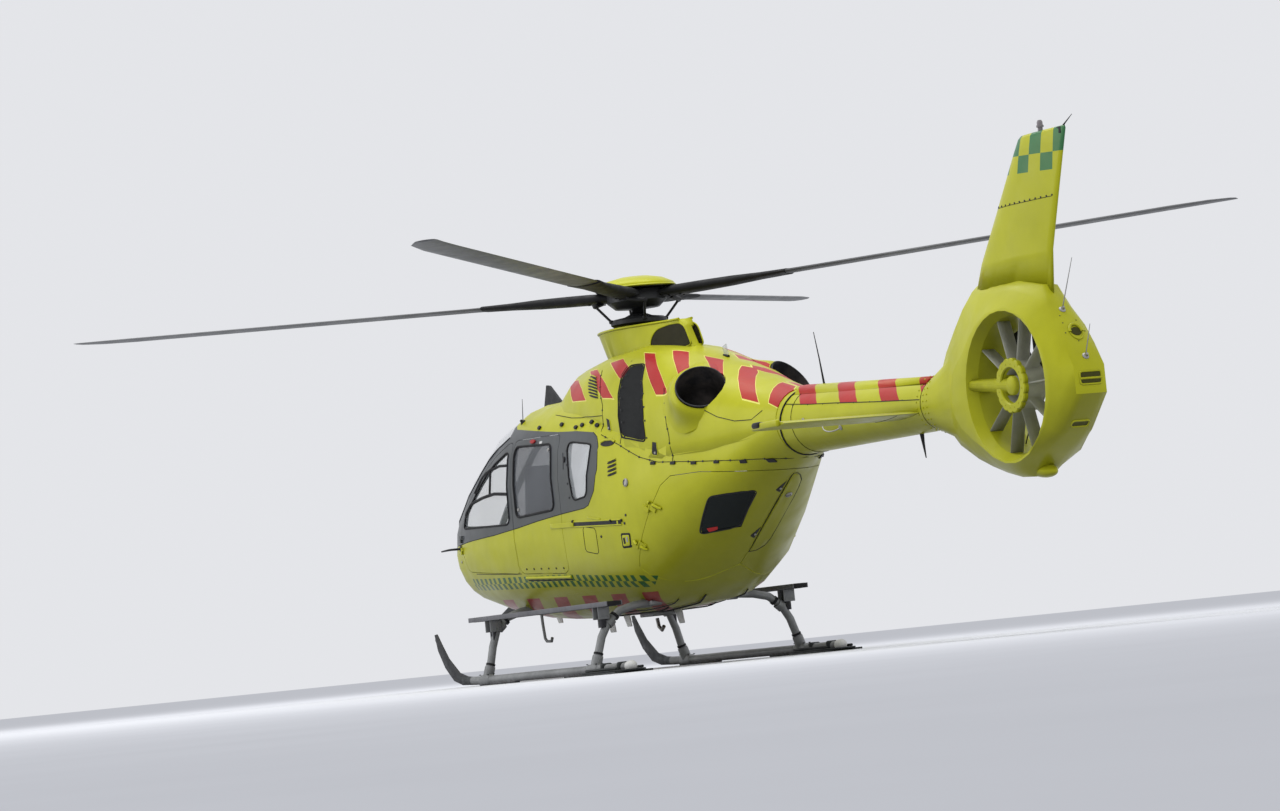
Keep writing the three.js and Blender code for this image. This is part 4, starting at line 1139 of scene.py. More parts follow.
class HELICOPTER_OT_seams(Operator):
    """Sealed seams and their rows of fasteners"""
    bl_idname = "helicopter.seams"
    bl_label = "Seams"

    def execute(self, context):
        sizes = context.scene.helicopter_sizes
        for side, sign in SIDES:
            pieces = [
                line_on_side("seam", points, sign, sizes.seam, "black_rubber", sides=0, pitch=0.05)
                for points in SEAMS.values()
            ]
            joined(f"panel_seams_{side}", pieces, "black_rubber")
            heads = []
            for points, count in (
                (SEAMS["deck_seam"], 15),
                (((3.885, 2.46), (3.873, 2.33), (3.90, 2.2), (3.95, 2.0), (3.985, 1.86)), 6),
                (((4.02, 2.47), (4.24, 2.21), (4.31, 2.02), (4.335, 1.80)), 6),
                (SEAMS["cowling_rear_seam"], 6),
                (SEAMS["cowling_front_seam"], 5),
                (((2.04, 0.945), (2.48, 0.925), (2.86, 0.905)), 6),
                (((3.04, 1.95), (3.10, 1.40)), 4),
            ):
                line = traced(points, sign, pitch=0.02, lift=0.001)
                for k in range(count):
                    point = line[round((k + 0.5) * (len(line) - 1) / count)]
                    heads.append((point, skin_normal(form_at(point.y - AFT, point.z)[1], point)))
            studs(f"panel_fasteners_{side}", heads, sizes.head, "dark_steel")
            clips = [(strip((s - 0.028, z), (s + 0.028, z - 0.004), 0.026), 0.012) for s, z in DECK_CLIPS]
            clips += [(oval(s, z, 0.06, 0.034, -0.2, 10), 0.016) for s, z in ROOF_CLIPS]
            pieces = [patch("clip", outline, sign, thickness, "black_plastic") for outline, thickness in clips]
            joined(f"panel_clips_{side}", pieces, "black_plastic")
        return {"FINISHED"}


class HELICOPTER_OT_side_fittings(Operator):
    """Door rails, handles, hatches, vents and latches on the sides"""
    bl_idname = "helicopter.side_fittings"
    bl_label = "Side fittings"

    def execute(self, context):
        for side, sign in SIDES:
            def plates(*rows):
                for name, outline, thickness, material in rows:
                    patch(f"{name}_{side}", outline, sign, thickness, material)

            def bars(*rows):
                for name, line, radius, sides in rows:
                    line_on_side(f"{name}_{side}", line, sign, radius, "plain_paint", sides=sides)

            def heads(name, spots, radius, material, height=None):
                studs(f"{name}_{side}", [on_side(*spot, sign) for spot in spots], radius, material, height=height)

            plates(
                ("door_rail_plate", strip((2.70, 1.268), (3.14, 1.252), 0.044), 0.010, "plain_paint"),
                ("door_rail_channel", strip((3.14, 1.252), (3.955, 1.214), 0.034), 0.003, "black_plastic"),
            )
            bars(
                ("door_rail_upper_lip", ((3.13, 1.275), (3.96, 1.235)), 0.007, 2),
                ("door_rail_lower_lip", ((3.13, 1.233), (3.96, 1.193)), 0.007, 2),
                ("door_lower_rail", ((2.037, 0.868), (2.887, 0.828)), 0.015, 3),
                ("grab_hood", ((3.625, 1.892), (3.68, 1.905), (3.78, 1.90), (3.84, 1.877)), 0.012, 2),
            )
            heads("door_rail_stops", ((3.80, 1.236), (3.965, 1.226), (3.13, 1.278)), 0.013, "black_plastic", 0.022)
            heads("pane_studs", ((2.09, 1.45), (2.69, 1.91)), 0.016, "bare_steel")
            heads("side_buttons", ((4.00, 1.20), (4.03, 1.265), (3.60, 1.12)), 0.012, "dark_steel")
            frame_line = ((3.925, 1.125), (4.055, 1.117), (4.045, 0.997), (3.925, 1.0))
            plate_line = ((3.942, 1.108), (4.038, 1.102), (4.028, 1.014), (3.94, 1.016))
            plates(
                ("door_lower_shadow", strip((2.05, 0.846), (2.88, 0.806), 0.010), 0.002, "black_rubber"),
                ("rail_bracket", strip((3.40, 1.295), (3.62, 1.262), 0.016), 0.006, "plain_paint"),
                ("door_pull", oval(2.36, 2.004, 0.10, 0.034, -0.05), 0.016, "red_plastic"),
                ("door_tag", strip((2.49, 1.985), (2.54, 1.983), 0.022), 0.003, "pale_plastic"),
                ("pillar_latch", oval(3.015, 1.80, 0.034, 0.05), 0.010, "black_plastic"),
                # hatch with a recessed lock
                ("lock_frame", softened(frame_line, 0.02), 0.003, "black_rubber"),
                ("lock_plate", softened(plate_line, 0.015), 0.005, "plain_paint"),
                ("lock_slot", strip((3.965, 1.085), (3.968, 1.035), 0.026), 0.007, "black_plastic"),
                ("lock_tab", strip((4.005, 1.09), (4.007, 1.045), 0.020), 0.008, "bare_steel"),
                ("grab_recess", oval(3.73, 1.872, 0.21, 0.046, -0.06), 0.004, "black_plastic"),
            )
            # slanted vents, each a slot under a hood
            for name, height, long, tall, thickness, material in (
                ("side_vents", 1.712, 0.145, 0.019, 0.004, "black_plastic"),
                ("side_vent_hoods", 1.726, 0.14, 0.010, 0.010, "plain_paint"),
            ):
                rows = [oval(3.845 + 0.006 * k, height - 0.034 * k, long, tall, 0.10) for k in range(4)]
                joined(f"{name}_{side}", [patch("row", row, sign, thickness, material) for row in rows], material)
            socket = ((0.0, 0.0), (0.034, 0.0), (0.034, 0.008), (0.024, 0.016), (0.024, 0.008), (0.0, 0.008))
            turned(f"power_socket_{side}", socket, *on_side(4.061, 1.526, sign), "bare_steel", steps=24)
            whip(f"roof_whip_{side}" if sign < 0 else "roof_whip", *on_side(1.936, 2.199, sign), 0.20, 0.004)
        return {"FINISHED"}


def whip(name, root, normal, length, radius, lean=(0.0, 0.15, 1.0), material="black_plastic"):
    """A tapering aerial on a small foot."""
    lean = Vector(lean).normalized()
    line = [root - lean * 0.01, root + lean * length * 0.5, root + lean * length]
    rod = tube("rod", line, radius, material, radii=[1.0, 0.8, 0.5])
    profile = ((0.0, 0.03), (0.010, 0.03), (0.014, 0.012), (0.026, 0.004), (0.026, -0.01), (0.0, -0.01))
    return joined(name, [turned("foot", profile, root, normal, material, steps=16), rod], material)


def collar_seat(sign):
    """Seats on the collar round the mast."""
    def seat(station, height):
        t = (height - 2.40) / 0.43
        front, rear, half = 2.82 - 0.18 * t, 4.27 - 0.275 * t, 0.25 + 0.055 * t
        u = min(max((station - front) / (rear - front), 0.0), 1.0)
        if u < 0.44:
            bulge = math.sqrt(1 - ((0.44 - u) / 0.44) ** 2)
        else:
            bulge = 0.2 + 0.8 * (1 + math.cos(math.pi * (u - 0.44) / 0.56)) / 2
        outward = Vector((sign * 0.93, 0.36 if u > 0.44 else -0.36, 0.05)).normalized()
        return place(sign * half * bulge, station, height), outward
    return seat


def cowl_seat(sign):
    """Seats on the engine cowling alone."""
    return lambda s, z: on_side(
        s, z, sign, ("cowling_front", "cowling_rear", "cowling_left", "cowling_right"), (COWL,),
    )


INTAKE_FRAME = (
    (3.905, 1.905), (3.85, 2.19), (3.805, 2.36), (3.818, 2.492), (4.036, 2.487), (4.215, 2.245), (4.282, 2.042),
    (4.312, 1.83),
)
COLLAR_MESH = (
    (3.69, 2.60), (3.685, 2.70), (3.73, 2.775), (3.86, 2.80), (4.00, 2.798), (4.085, 2.76), (4.17, 2.60),
    (3.95, 2.585),
)


class HELICOPTER_OT_cowling_fittings(Operator):
    """Louvres, recesses, meshes and exhaust fairings on the cowling"""
    bl_idname = "helicopter.cowling_fittings"
    bl_label = "Cowling fittings"

    def execute(self, context):
        for side, sign in SIDES:
            slats, hoods = [], []
            for k in range(7):
                t = k / 6
                s0, z0 = 3.22 + 0.14 * t, 2.448 - 0.165 * t
                reach = 0.075 + 0.05 * math.sin(math.pi * (0.2 + 0.6 * t))
                slats.append(patch("slat", oval(s0, z0, reach * 1.9, 0.017, -0.20), sign, 0.004, "black_plastic"))
                hoods.append(
                    patch("hood", oval(s0, z0 + 0.013, reach * 1.8, 0.008, -0.20), sign, 0.011, "plain_paint")
                )
            joined(f"louvre_slots_{side}", slats, "black_plastic")
            joined(f"louvre_hoods_{side}", hoods, "plain_paint")
            skin = cowl_seat(sign)
            for name, corners in (
                ("front", ((3.645, 2.085), (3.715, 2.065), (3.735, 1.965), (3.675, 1.98))),
                ("rear", ((4.405, 1.825), (4.470, 1.812), (4.462, 1.700), (4.392, 1.715))),
            ):
                edge = softened(corners, 0.012)
                patch(f"{name}_recess_{side}", edge, sign, 0.003, "black_plastic", seat=skin)
                line_on_side(
                    f"{name}_recess_rim_{side}", edge, sign, 0.005, "plain_paint", True, pitch=0.03, seat=skin,
                )
                lock = skin((corners[0][0] + corners[2][0]) / 2, corners[2][1] + 0.03)
                studs(f"{name}_recess_lock_{side}", [lock], 0.013, "bare_steel", height=0.014)
            edge = softened(INTAKE_FRAME, 0.05)
            line_on_side(
                f"intake_frame_{side}", edge, sign, 0.007, "black_rubber", True, sides=2, pitch=0.03, seat=skin,
            )
            seat = collar_seat(sign)
            edge = softened(COLLAR_MESH, 0.04)
            patch(f"collar_mesh_{side}", edge, sign, 0.004, "collar_mesh", rings=4, seat=seat)
            line_on_side(
                f"collar_mesh_frame_{side}", edge, sign, 0.006, "plain_paint", True, lift=0.003, pitch=0.03,
                seat=seat,
            )
            rim = [seat(3.995 - 1.355 * t, 2.83)[0] for t in (k / 30 for k in range(31))]
            tube(f"collar_lip_{side}", rim, 0.011, "plain_paint", sides=2)
            self.fairing(side, sign)
        tube("clear_fin_foot", path((0, 4.60, 2.463), (0, 4.68, 2.447)), 0.012, "black_plastic")
        lean = Matrix.Rotation(0.25, 3, "X")
        rounded_block("clear_fin", place(0, 4.635, 2.50), (0.008, 0.07, 0.09), "pale_acrylic", turn=lean)
        return {"FINISHED"}

    def fairing(self, side, sign):
        """Skin that swells out of the cowling to the exhaust's mouth, and the mouth's rims.

        From each point of the rim a straight line leans back until it meets the cowling within
        farthest. Neighbouring ends are averaged, and a curve leaves the rim and arrives flush.
        """
        farthest, neighbours = 0.36, 5
        axis = Vector((sign * 0.377, 0.717, 0.586)).normalized()
        mouth = place(sign * 0.415, 4.935, 2.203)
        first = axis.orthogonal().normalized()
        second = axis.cross(first)
        count, rows = 64, 11
        outs = [first * c + second * s for c, s in circle(count)]
        points, ends = [], []
        for out in outs:
            start = mouth - axis * 0.020 + out * 0.209
            for lean in (60, 55, 50, 44, 38, 32, 26, 18, 10, 2):
                direction = (out * math.sin(math.radians(lean)) - axis * math.cos(math.radians(lean))).normalized()
                reach = 0.0
                while reach < farthest and level(COWL, *shifted(start + direction * reach)) > 1.0:
                    reach += 0.01
                if reach < farthest:
                    break
            ends.append((start, direction, reach))
        for k, (start, _, _) in enumerate(ends):
            near = [ends[(k + d) % count] for d in range(-neighbours, neighbours + 1)]
            direction = sum((end[1] for end in near), Vector()).normalized()
            span = sum(end[2] for end in near) / len(near) + 0.014
            end = start + direction * span
            across = (direction - axis * direction.dot(axis)).normalized()
            normal = skin_normal(COWL, end)
            along = (direction - normal * direction.dot(normal)).normalized()
            leave = start + (across * 0.30 - axis * 0.16) * span
            arrive = end - along * 0.42 * span + normal * 0.008
            for t in (row / (rows - 1) for row in range(rows)):
                points.append(
                    start * (1 - t) ** 3 + leave * 3 * t * (1 - t) ** 2 + arrive * 3 * t * t * (1 - t) + end * t ** 3
                )
        faces = quads(count, rows, round_rows=True, round_columns=False)
        sheet(f"exhaust_fairing_{side}", points, faces, Vector((0, 0, 0)), 0.004, "cowl_paint", bevel=0)
        for name, back, radius, material in (
            ("fairing", 0.022, 0.211, "plain_paint"), ("mouth", 0.0, 0.202, "dark_steel"),
        ):
            ring = [mouth - axis * back + out * radius for out in outs]
            tube(f"exhaust_{name}_rim_{side}", ring, 0.006, material, closed=True, sides=2)


def swell(piece, voxel, reach, rest):
    """Inflates a soft form by at most reach. Points below rest stay where they are."""
    modified(piece, "REMESH", mode="VOXEL", voxel_size=voxel)
    start = [v.co.copy() for v in piece.data.vertices]
    group = piece.vertex_groups.new(name="held")
    group.add([k for k, co in enumerate(start) if co.z <= rest], 1.0, "REPLACE")
    mod = piece.modifiers.new("cloth", "CLOTH")
    mod.settings.use_pressure = True
    mod.settings.uniform_pressure_force = 4.0
    mod.settings.effector_weights.gravity = 0.0
    mod.settings.vertex_group_mass = "held"
    mod.settings.quality = 3
    for number in range(1, 21):
        bpy.context.scene.frame_set(number)
    bpy.ops.object.modifier_apply(modifier=mod.name)
    bpy.context.scene.frame_set(1)
    for vertex, old in zip(piece.data.vertices, start):
        move = vertex.co - old
        if move.length > reach:
            vertex.co = old + move * (reach / move.length)
    modified(piece, "SUBSURF", levels=1, render_levels=1)


def sewn(piece, lines, width, depth):
    """Presses seams into the upper face of a pad. Each line is an axis and its place on it."""
    for vertex in piece.data.vertices:
        if vertex.normal.z > 0.25:
            near = min(abs(vertex.co[axis] - at) for axis, at in lines)
            vertex.co.z -= depth * math.exp(-(near / width) ** 2) * min(1.0, vertex.normal.z * 1.4)


def pad(name, size, draw, voxel, reach, lines, material, fill=0.85):
    """A crowned cushion of that size, pulled in along its sides, with its sewn seams."""
    let_go()
    bpy.ops.mesh.primitive_cube_add(size=1.0)
    piece = bpy.context.active_object
    piece.data.transform(Matrix.Diagonal((*size, 1.0)))
    edited(piece, lambda: bpy.ops.mesh.subdivide(number_cuts=6))
    for vertex in piece.data.vertices:
        u, v = vertex.co.x / size[0] * 2, vertex.co.y / size[1] * 2
        vertex.co.x *= 1.0 - draw * (1.0 - v * v)
        vertex.co.y *= 1.0 - draw * (1.0 - u * u)
    modified(piece, "BEVEL", width=size[2] * 0.3, segments=3)
    swell(piece, voxel, reach, -size[2] * 0.42)
    sewn(piece, lines, 0.010, reach * 0.75)
    rim = []
    for turn in circle(72):
        x, y = (half / 2 * math.copysign(abs(part) ** 0.35, part) * 0.985 for half, part in zip(size, turn))
        rim.append(Vector((x, y, size[2] * 0.30)))
    tree = tree_of(piece.data)
    piping = tube("piping", [tree.find_nearest(point)[0] for point in rim], 0.004, material, closed=True)
    made = joined(name, [piece, piping], material)
    for face in made.data.polygons:
        face.use_smooth = True
    return made


# Distance of the crew seats from the middle line, their width and the side profile of their shell
SEAT_LINE = 0.37
SEAT_WIDTH = 0.41
SEAT_PROFILE = (
    (0.0, 0.0), (0.06, 0.33), (0.03, 0.338), (0.035, 0.350), (0.44, 0.335), (0.50, 0.42), (0.615, 1.01), (0.65, 1.02),
    (0.52, 0.33), (0.44, 0.32), (0.46, 0.0),
)


class HELICOPTER_OT_cabin(Operator):
    """Crew seats, stretcher, instrument panel and controls"""
    bl_idname = "helicopter.cabin"
    bl_label = "Cabin"

    def execute(self, context):
        seat_lines = ((0, -0.12), (0, 0.12), (1, -0.10), (1, 0.03))
        back_lines = ((0, -0.12), (0, 0.12), (1, -0.22), (1, -0.07), (1, 0.08))
        cushion = pad("cushion", (0.40, 0.37, 0.075), 0.03, 0.011, 0.010, seat_lines, "seat_cloth")
        rest = pad("backrest", (0.40, 0.60, 0.060), 0.03, 0.012, 0.010, back_lines, "seat_cloth")
        lean = math.atan2(0.13, 0.63)

        def seated(x, station, height, turn):
            return Matrix.Translation(place(x, station, height)) @ Matrix.Rotation(turn, 4, "X")
        for side, sign in SIDES:
            for source, name, matrix in (
                (cushion, "cushion", seated(sign * SEAT_LINE, 1.495, 1.178, -0.05)),
                (rest, "backrest", seated(sign * SEAT_LINE, 1.805, 1.51, math.pi / 2 - lean)),
            ):
                piece = linked(f"crew_seat_{side}_{name}", source.data.copy())
                piece.data.transform(matrix)
                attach(piece, "airframe")
                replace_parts(piece, f"crew_seat_{side}")
            outline = [place(sign * SEAT_LINE - SEAT_WIDTH / 2, 1.27 + s, 0.80 + z) for s, z in SEAT_PROFILE]
            shell = cut_plate(f"crew_seat_{side}_shell", outline, (SEAT_WIDTH, 0, 0), "black_plastic", 0.006)
            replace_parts(shell, f"crew_seat_{side}")
            # harness straps lie on the backrest
            line = ((1.868, 1.815), (1.792, 1.74), (1.742, 1.50), (1.690, 1.285), (1.665, 1.245))
            for number, x in enumerate((-0.085, 0.085)):
                strap = [place(sign * SEAT_LINE + x + w, s, z) for w in (-0.022, 0.022) for s, z in line]
                faces = quads(2, len(line), round_columns=False)
                sheet(
                    f"crew_seat_{side}_strap_{number + 1}", strap, faces, Vector((0, -1, 0.3)), 0.003, "webbing",
                    bevel=0,
                )
            stick = [
                place(sign * SEAT_LINE, s, z) for s, z in ((1.10, 0.79), (1.13, 0.95), (1.10, 1.12), (1.13, 1.22))
            ]
            tube(f"control_stick_{side}", stick, 0.012, "black_plastic", radii=[1.3, 1.0, 1.0, 1.6])
        for source in (cushion, rest):
            bpy.data.objects.remove(source)
        folds = ((1, -0.5), (1, -0.1), (1, 0.35))
        mattress = pad("stretcher_mattress", (0.46, 1.76, 0.062), 0.006, 0.015, 0.008, folds, "mattress_cloth", 0.9)
        mattress.data.transform(Matrix.Translation(place(-0.23, 3.05, 1.032)))
        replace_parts(mattress, "stretcher")
        rails = (-0.465, 0.005)
        bars = [tube("bar", [place(x, s, 0.992) for s in (2.16, 3.05, 3.94)], 0.013, "bare_steel") for x in rails]
        for s in (2.16, 2.6, 3.05, 3.5, 3.94):
            bars.append(tube("bar", [place(x, s, 0.990) for x in rails], 0.011, "bare_steel"))
        for x, s in ((-0.37, 2.28), (-0.37, 3.63), (-0.09, 2.28), (-0.09, 3.63)):
            bars.append(tube("leg", [place(x, s, z) for z in (0.801, 0.90, 0.99)], 0.016, "bare_steel"))
        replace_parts(joined("stretcher_frame", bars, "bare_steel"), "stretcher")
        turn = Matrix.Rotation(math.radians(-20), 3, "X")
        for number, x in enumerate((-0.2, 0.0, 0.2)):
            for name, spot, size, material in (
                ("bezel", place(x, 0.918, 1.228), (0.16, 0.012, 0.082), "black_plastic"),
                ("glass", place(x, 0.925, 1.230), (0.135, 0.005, 0.062), "dark_acrylic"),
            ):
                rounded_block(f"display_{name}_{number + 1}", spot, size, material, turn=turn)
        return {"FINISHED"}


# Outline of the latch plate, as x and height
LATCH_PLATE = (
    (-0.008, 1.432), (-0.05, 1.432), (-0.10, 1.415), (-0.14, 1.385), (-0.158, 1.33), (-0.165, 1.26), (-0.160, 1.04),
    (-0.152, 0.95), (-0.13, 0.905), (-0.08, 0.875), (-0.008, 0.866),
)


# Ends of each hinge strap as stations and heights, and the share of its length at the hinge line
HINGE_STRAPS = (((4.355, 1.345), (4.49, 1.275), 0.29), ((4.10, 1.045), (4.215, 0.965), 0.44))


class HELICOPTER_OT_rear_door_fittings(Operator):
    """Latch plate, recesses, lock and hinge straps of the rear doors"""
    bl_idname = "helicopter.rear_door_fittings"
    bl_label = "Rear door fittings"

    def execute(self, context):
        rear = ("rear_door_left", "rear_door_right", "cabin_structure", "belly_shell")

        def seat(x, height):
            point, _ = land((x, 3.0, height), (0, -1, 0), rear)
            return point, skin_normal(POD, point)
        right, left = "rear_door_right", "rear_door_left"
        line_on_side("latch_plate_edge", LATCH_PLATE, 1, 0.004, "black_rubber", True, right, seat=seat, pitch=0.03)
        inner = tuple((x * 0.93 - 0.006, 1.15 + (z - 1.15) * 0.97) for x, z in LATCH_PLATE)
        patch("latch_plate", inner, 1, 0.004, "plain_paint", right, seat=seat, rings=4)
        for number, corners in enumerate((
            ((0.006, 1.385), (0.062, 1.318), (0.012, 1.298)),
            ((0.006, 1.055), (0.062, 0.988), (0.012, 0.966)),
        )):
            patch(f"latch_recess_{number + 1}", softened(corners, 0.012), 1, 0.002, "black_plastic", left, seat=seat)
            studs(f"latch_bolt_{number + 1}", [seat(0.024, corners[1][1] + 0.01)], 0.012, "bare_steel", left, 0.016)
        profile = ((0.0, 0.004), (0.030, 0.004), (0.030, 0.012), (0.018, 0.018), (0.016, 0.010), (0.0, 0.010))
        turned("rear_lock", profile, *seat(-0.084, 1.281), "bare_steel", right, steps=24)
        for side, sign in SIDES:
            # each strap is split where it crosses the hinge line
            for number, (a, b, split) in enumerate(HINGE_STRAPS):
                first, n1 = on_side(*a, sign)
                last, n2 = on_side(*b, sign)
                lift = (n1 + n2).normalized() * 0.020
                wall, door = (first.lerp(last, split + step) + lift for step in (-0.13, 0.13))
                for name, line, body in (
                    ("foot", [first + n1 * 0.004, first.lerp(last, split * 0.5) + lift, wall], "airframe"),
                    ("strap", [door, first.lerp(last, 0.85) + lift, last + n2 * 0.004], f"rear_door_{side}"),
                ):
                    tube(f"hinge_{name}_{side}_{number + 1}", line, 0.013, "plain_paint", body, sides=3)
        return {"FINISHED"}


CONING = 0.037  # upward lean of the blades
# Turned profiles on the mast, as radius and height
SWASH_PLATE = (
    (0.075, 0.0), (0.215, 0.0), (0.235, 0.015), (0.235, 0.045), (0.215, 0.06), (0.12, 0.075), (0.075, 0.095),
    (0.075, 0.0),
)
MAST_BOOT = (
    (0.078, -0.20), (0.115, -0.20), (0.10, -0.15), (0.115, -0.10), (0.10, -0.05), (0.095, 0.0), (0.078, 0.0),
    (0.078, -0.20),
)
CAP_RIM = ((0.31, 3.158), (0.334, 3.163), (0.343, 3.176), (0.334, 3.186), (0.31, 3.18), (0.31, 3.158))


class HELICOPTER_OT_rotor_fittings(Operator):
    """Blade cuffs, pitch links and swash plate of the main rotor"""
    bl_idname = "helicopter.rotor_fittings"
    bl_label = "Rotor fittings"

    def execute(self, context):
        hub = place(0, MAST, HUB)
        # cuff sections: distance from the mast, half width, half thickness
        sections = ((0.17, 0.085, 0.034), (0.26, 0.115, 0.042), (0.40, 0.118, 0.046), (0.60, 0.100, 0.046),
                    (0.85, 0.096, 0.042), (1.10, 0.112, 0.030), (1.34, 0.146, 0.0235))
        count = 20
        for number in range(4):
            angle = math.radians(45 + 90 * number)
            level_turn = Matrix.Translation(hub) @ Matrix.Rotation(angle, 4, "Z")
            turn = level_turn @ Matrix.Rotation(-CONING, 4, "Y")
            points = [
                turn @ Vector((r, half * c, thick * math.copysign(abs(s) ** 0.8, s)))
                for r, half, thick in sections for c, s in circle(count)
            ]
            ends = [tuple(range(count - 1, -1, -1)), tuple(range(len(points) - count, len(points)))]
            cuff = net("cuff", points, quads(len(sections), count) + ends)
            settle(cuff, f"blade_cuff_{number + 1}", "black_rubber", "main_rotor", 40)
            # horn and link, by their distance from the mast, across the blade and up
            horn = [
                level_turn @ Vector(spot) for spot in ((0.30, 0.02, -0.03), (0.33, 0.13, -0.055), (0.31, 0.17, -0.06))
            ]
            link = [horn[-1], level_turn @ Vector((0.20, 0.12, -0.20))]
            pieces = [
                tube(name, line, radius, "black_plastic", "main_rotor", sides=3)
                for name, line, radius in (("horn", horn, 0.020), ("link", link, 0.011))
            ]
            ball = ((0.0, -0.018), (0.018, -0.014), (0.022, 0.0), (0.018, 0.014), (0.0, 0.018))
            pieces += [
                turned("joint", ball, spot, (0, 0, 1), "black_plastic", "main_rotor", steps=12) for spot in link
            ]
            joined(f"pitch_link_{number + 1}", pieces, "black_plastic", "main_rotor")
            bolts = [(turn @ Vector((r, w, -0.045)), Vector((0, 0, -1))) for r in (0.30, 0.40) for w in (-0.05, 0.05)]
            studs(f"cuff_bolts_{number + 1}", bolts, 0.013, "dark_steel", "main_rotor")
        for name, profile, height, material, body, steps in (
            ("swash_plate", SWASH_PLATE, 2.862, "dark_steel", "main_rotor", 40),
            ("mast_boot", MAST_BOOT, 2.855, "black_rubber", "airframe", 32),
            ("cap_rim", CAP_RIM, 0, "cap_paint", "main_rotor", 64),
        ):
            turned(name, profile, place(0, MAST, height), (0, 0, 1), material, body, steps)
        return {"FINISHED"}


BEACON = (
    (0.0, 0.082), (0.014, 0.080), (0.021, 0.066), (0.021, 0.045), (0.027, 0.043), (0.027, 0.030), (0.018, 0.028),
    (0.018, -0.02), (0.0, -0.02),
)
TAIL_NODES = ("fenestron_shroud", "vertical_fin", "tail_boom", "shaft_cover")


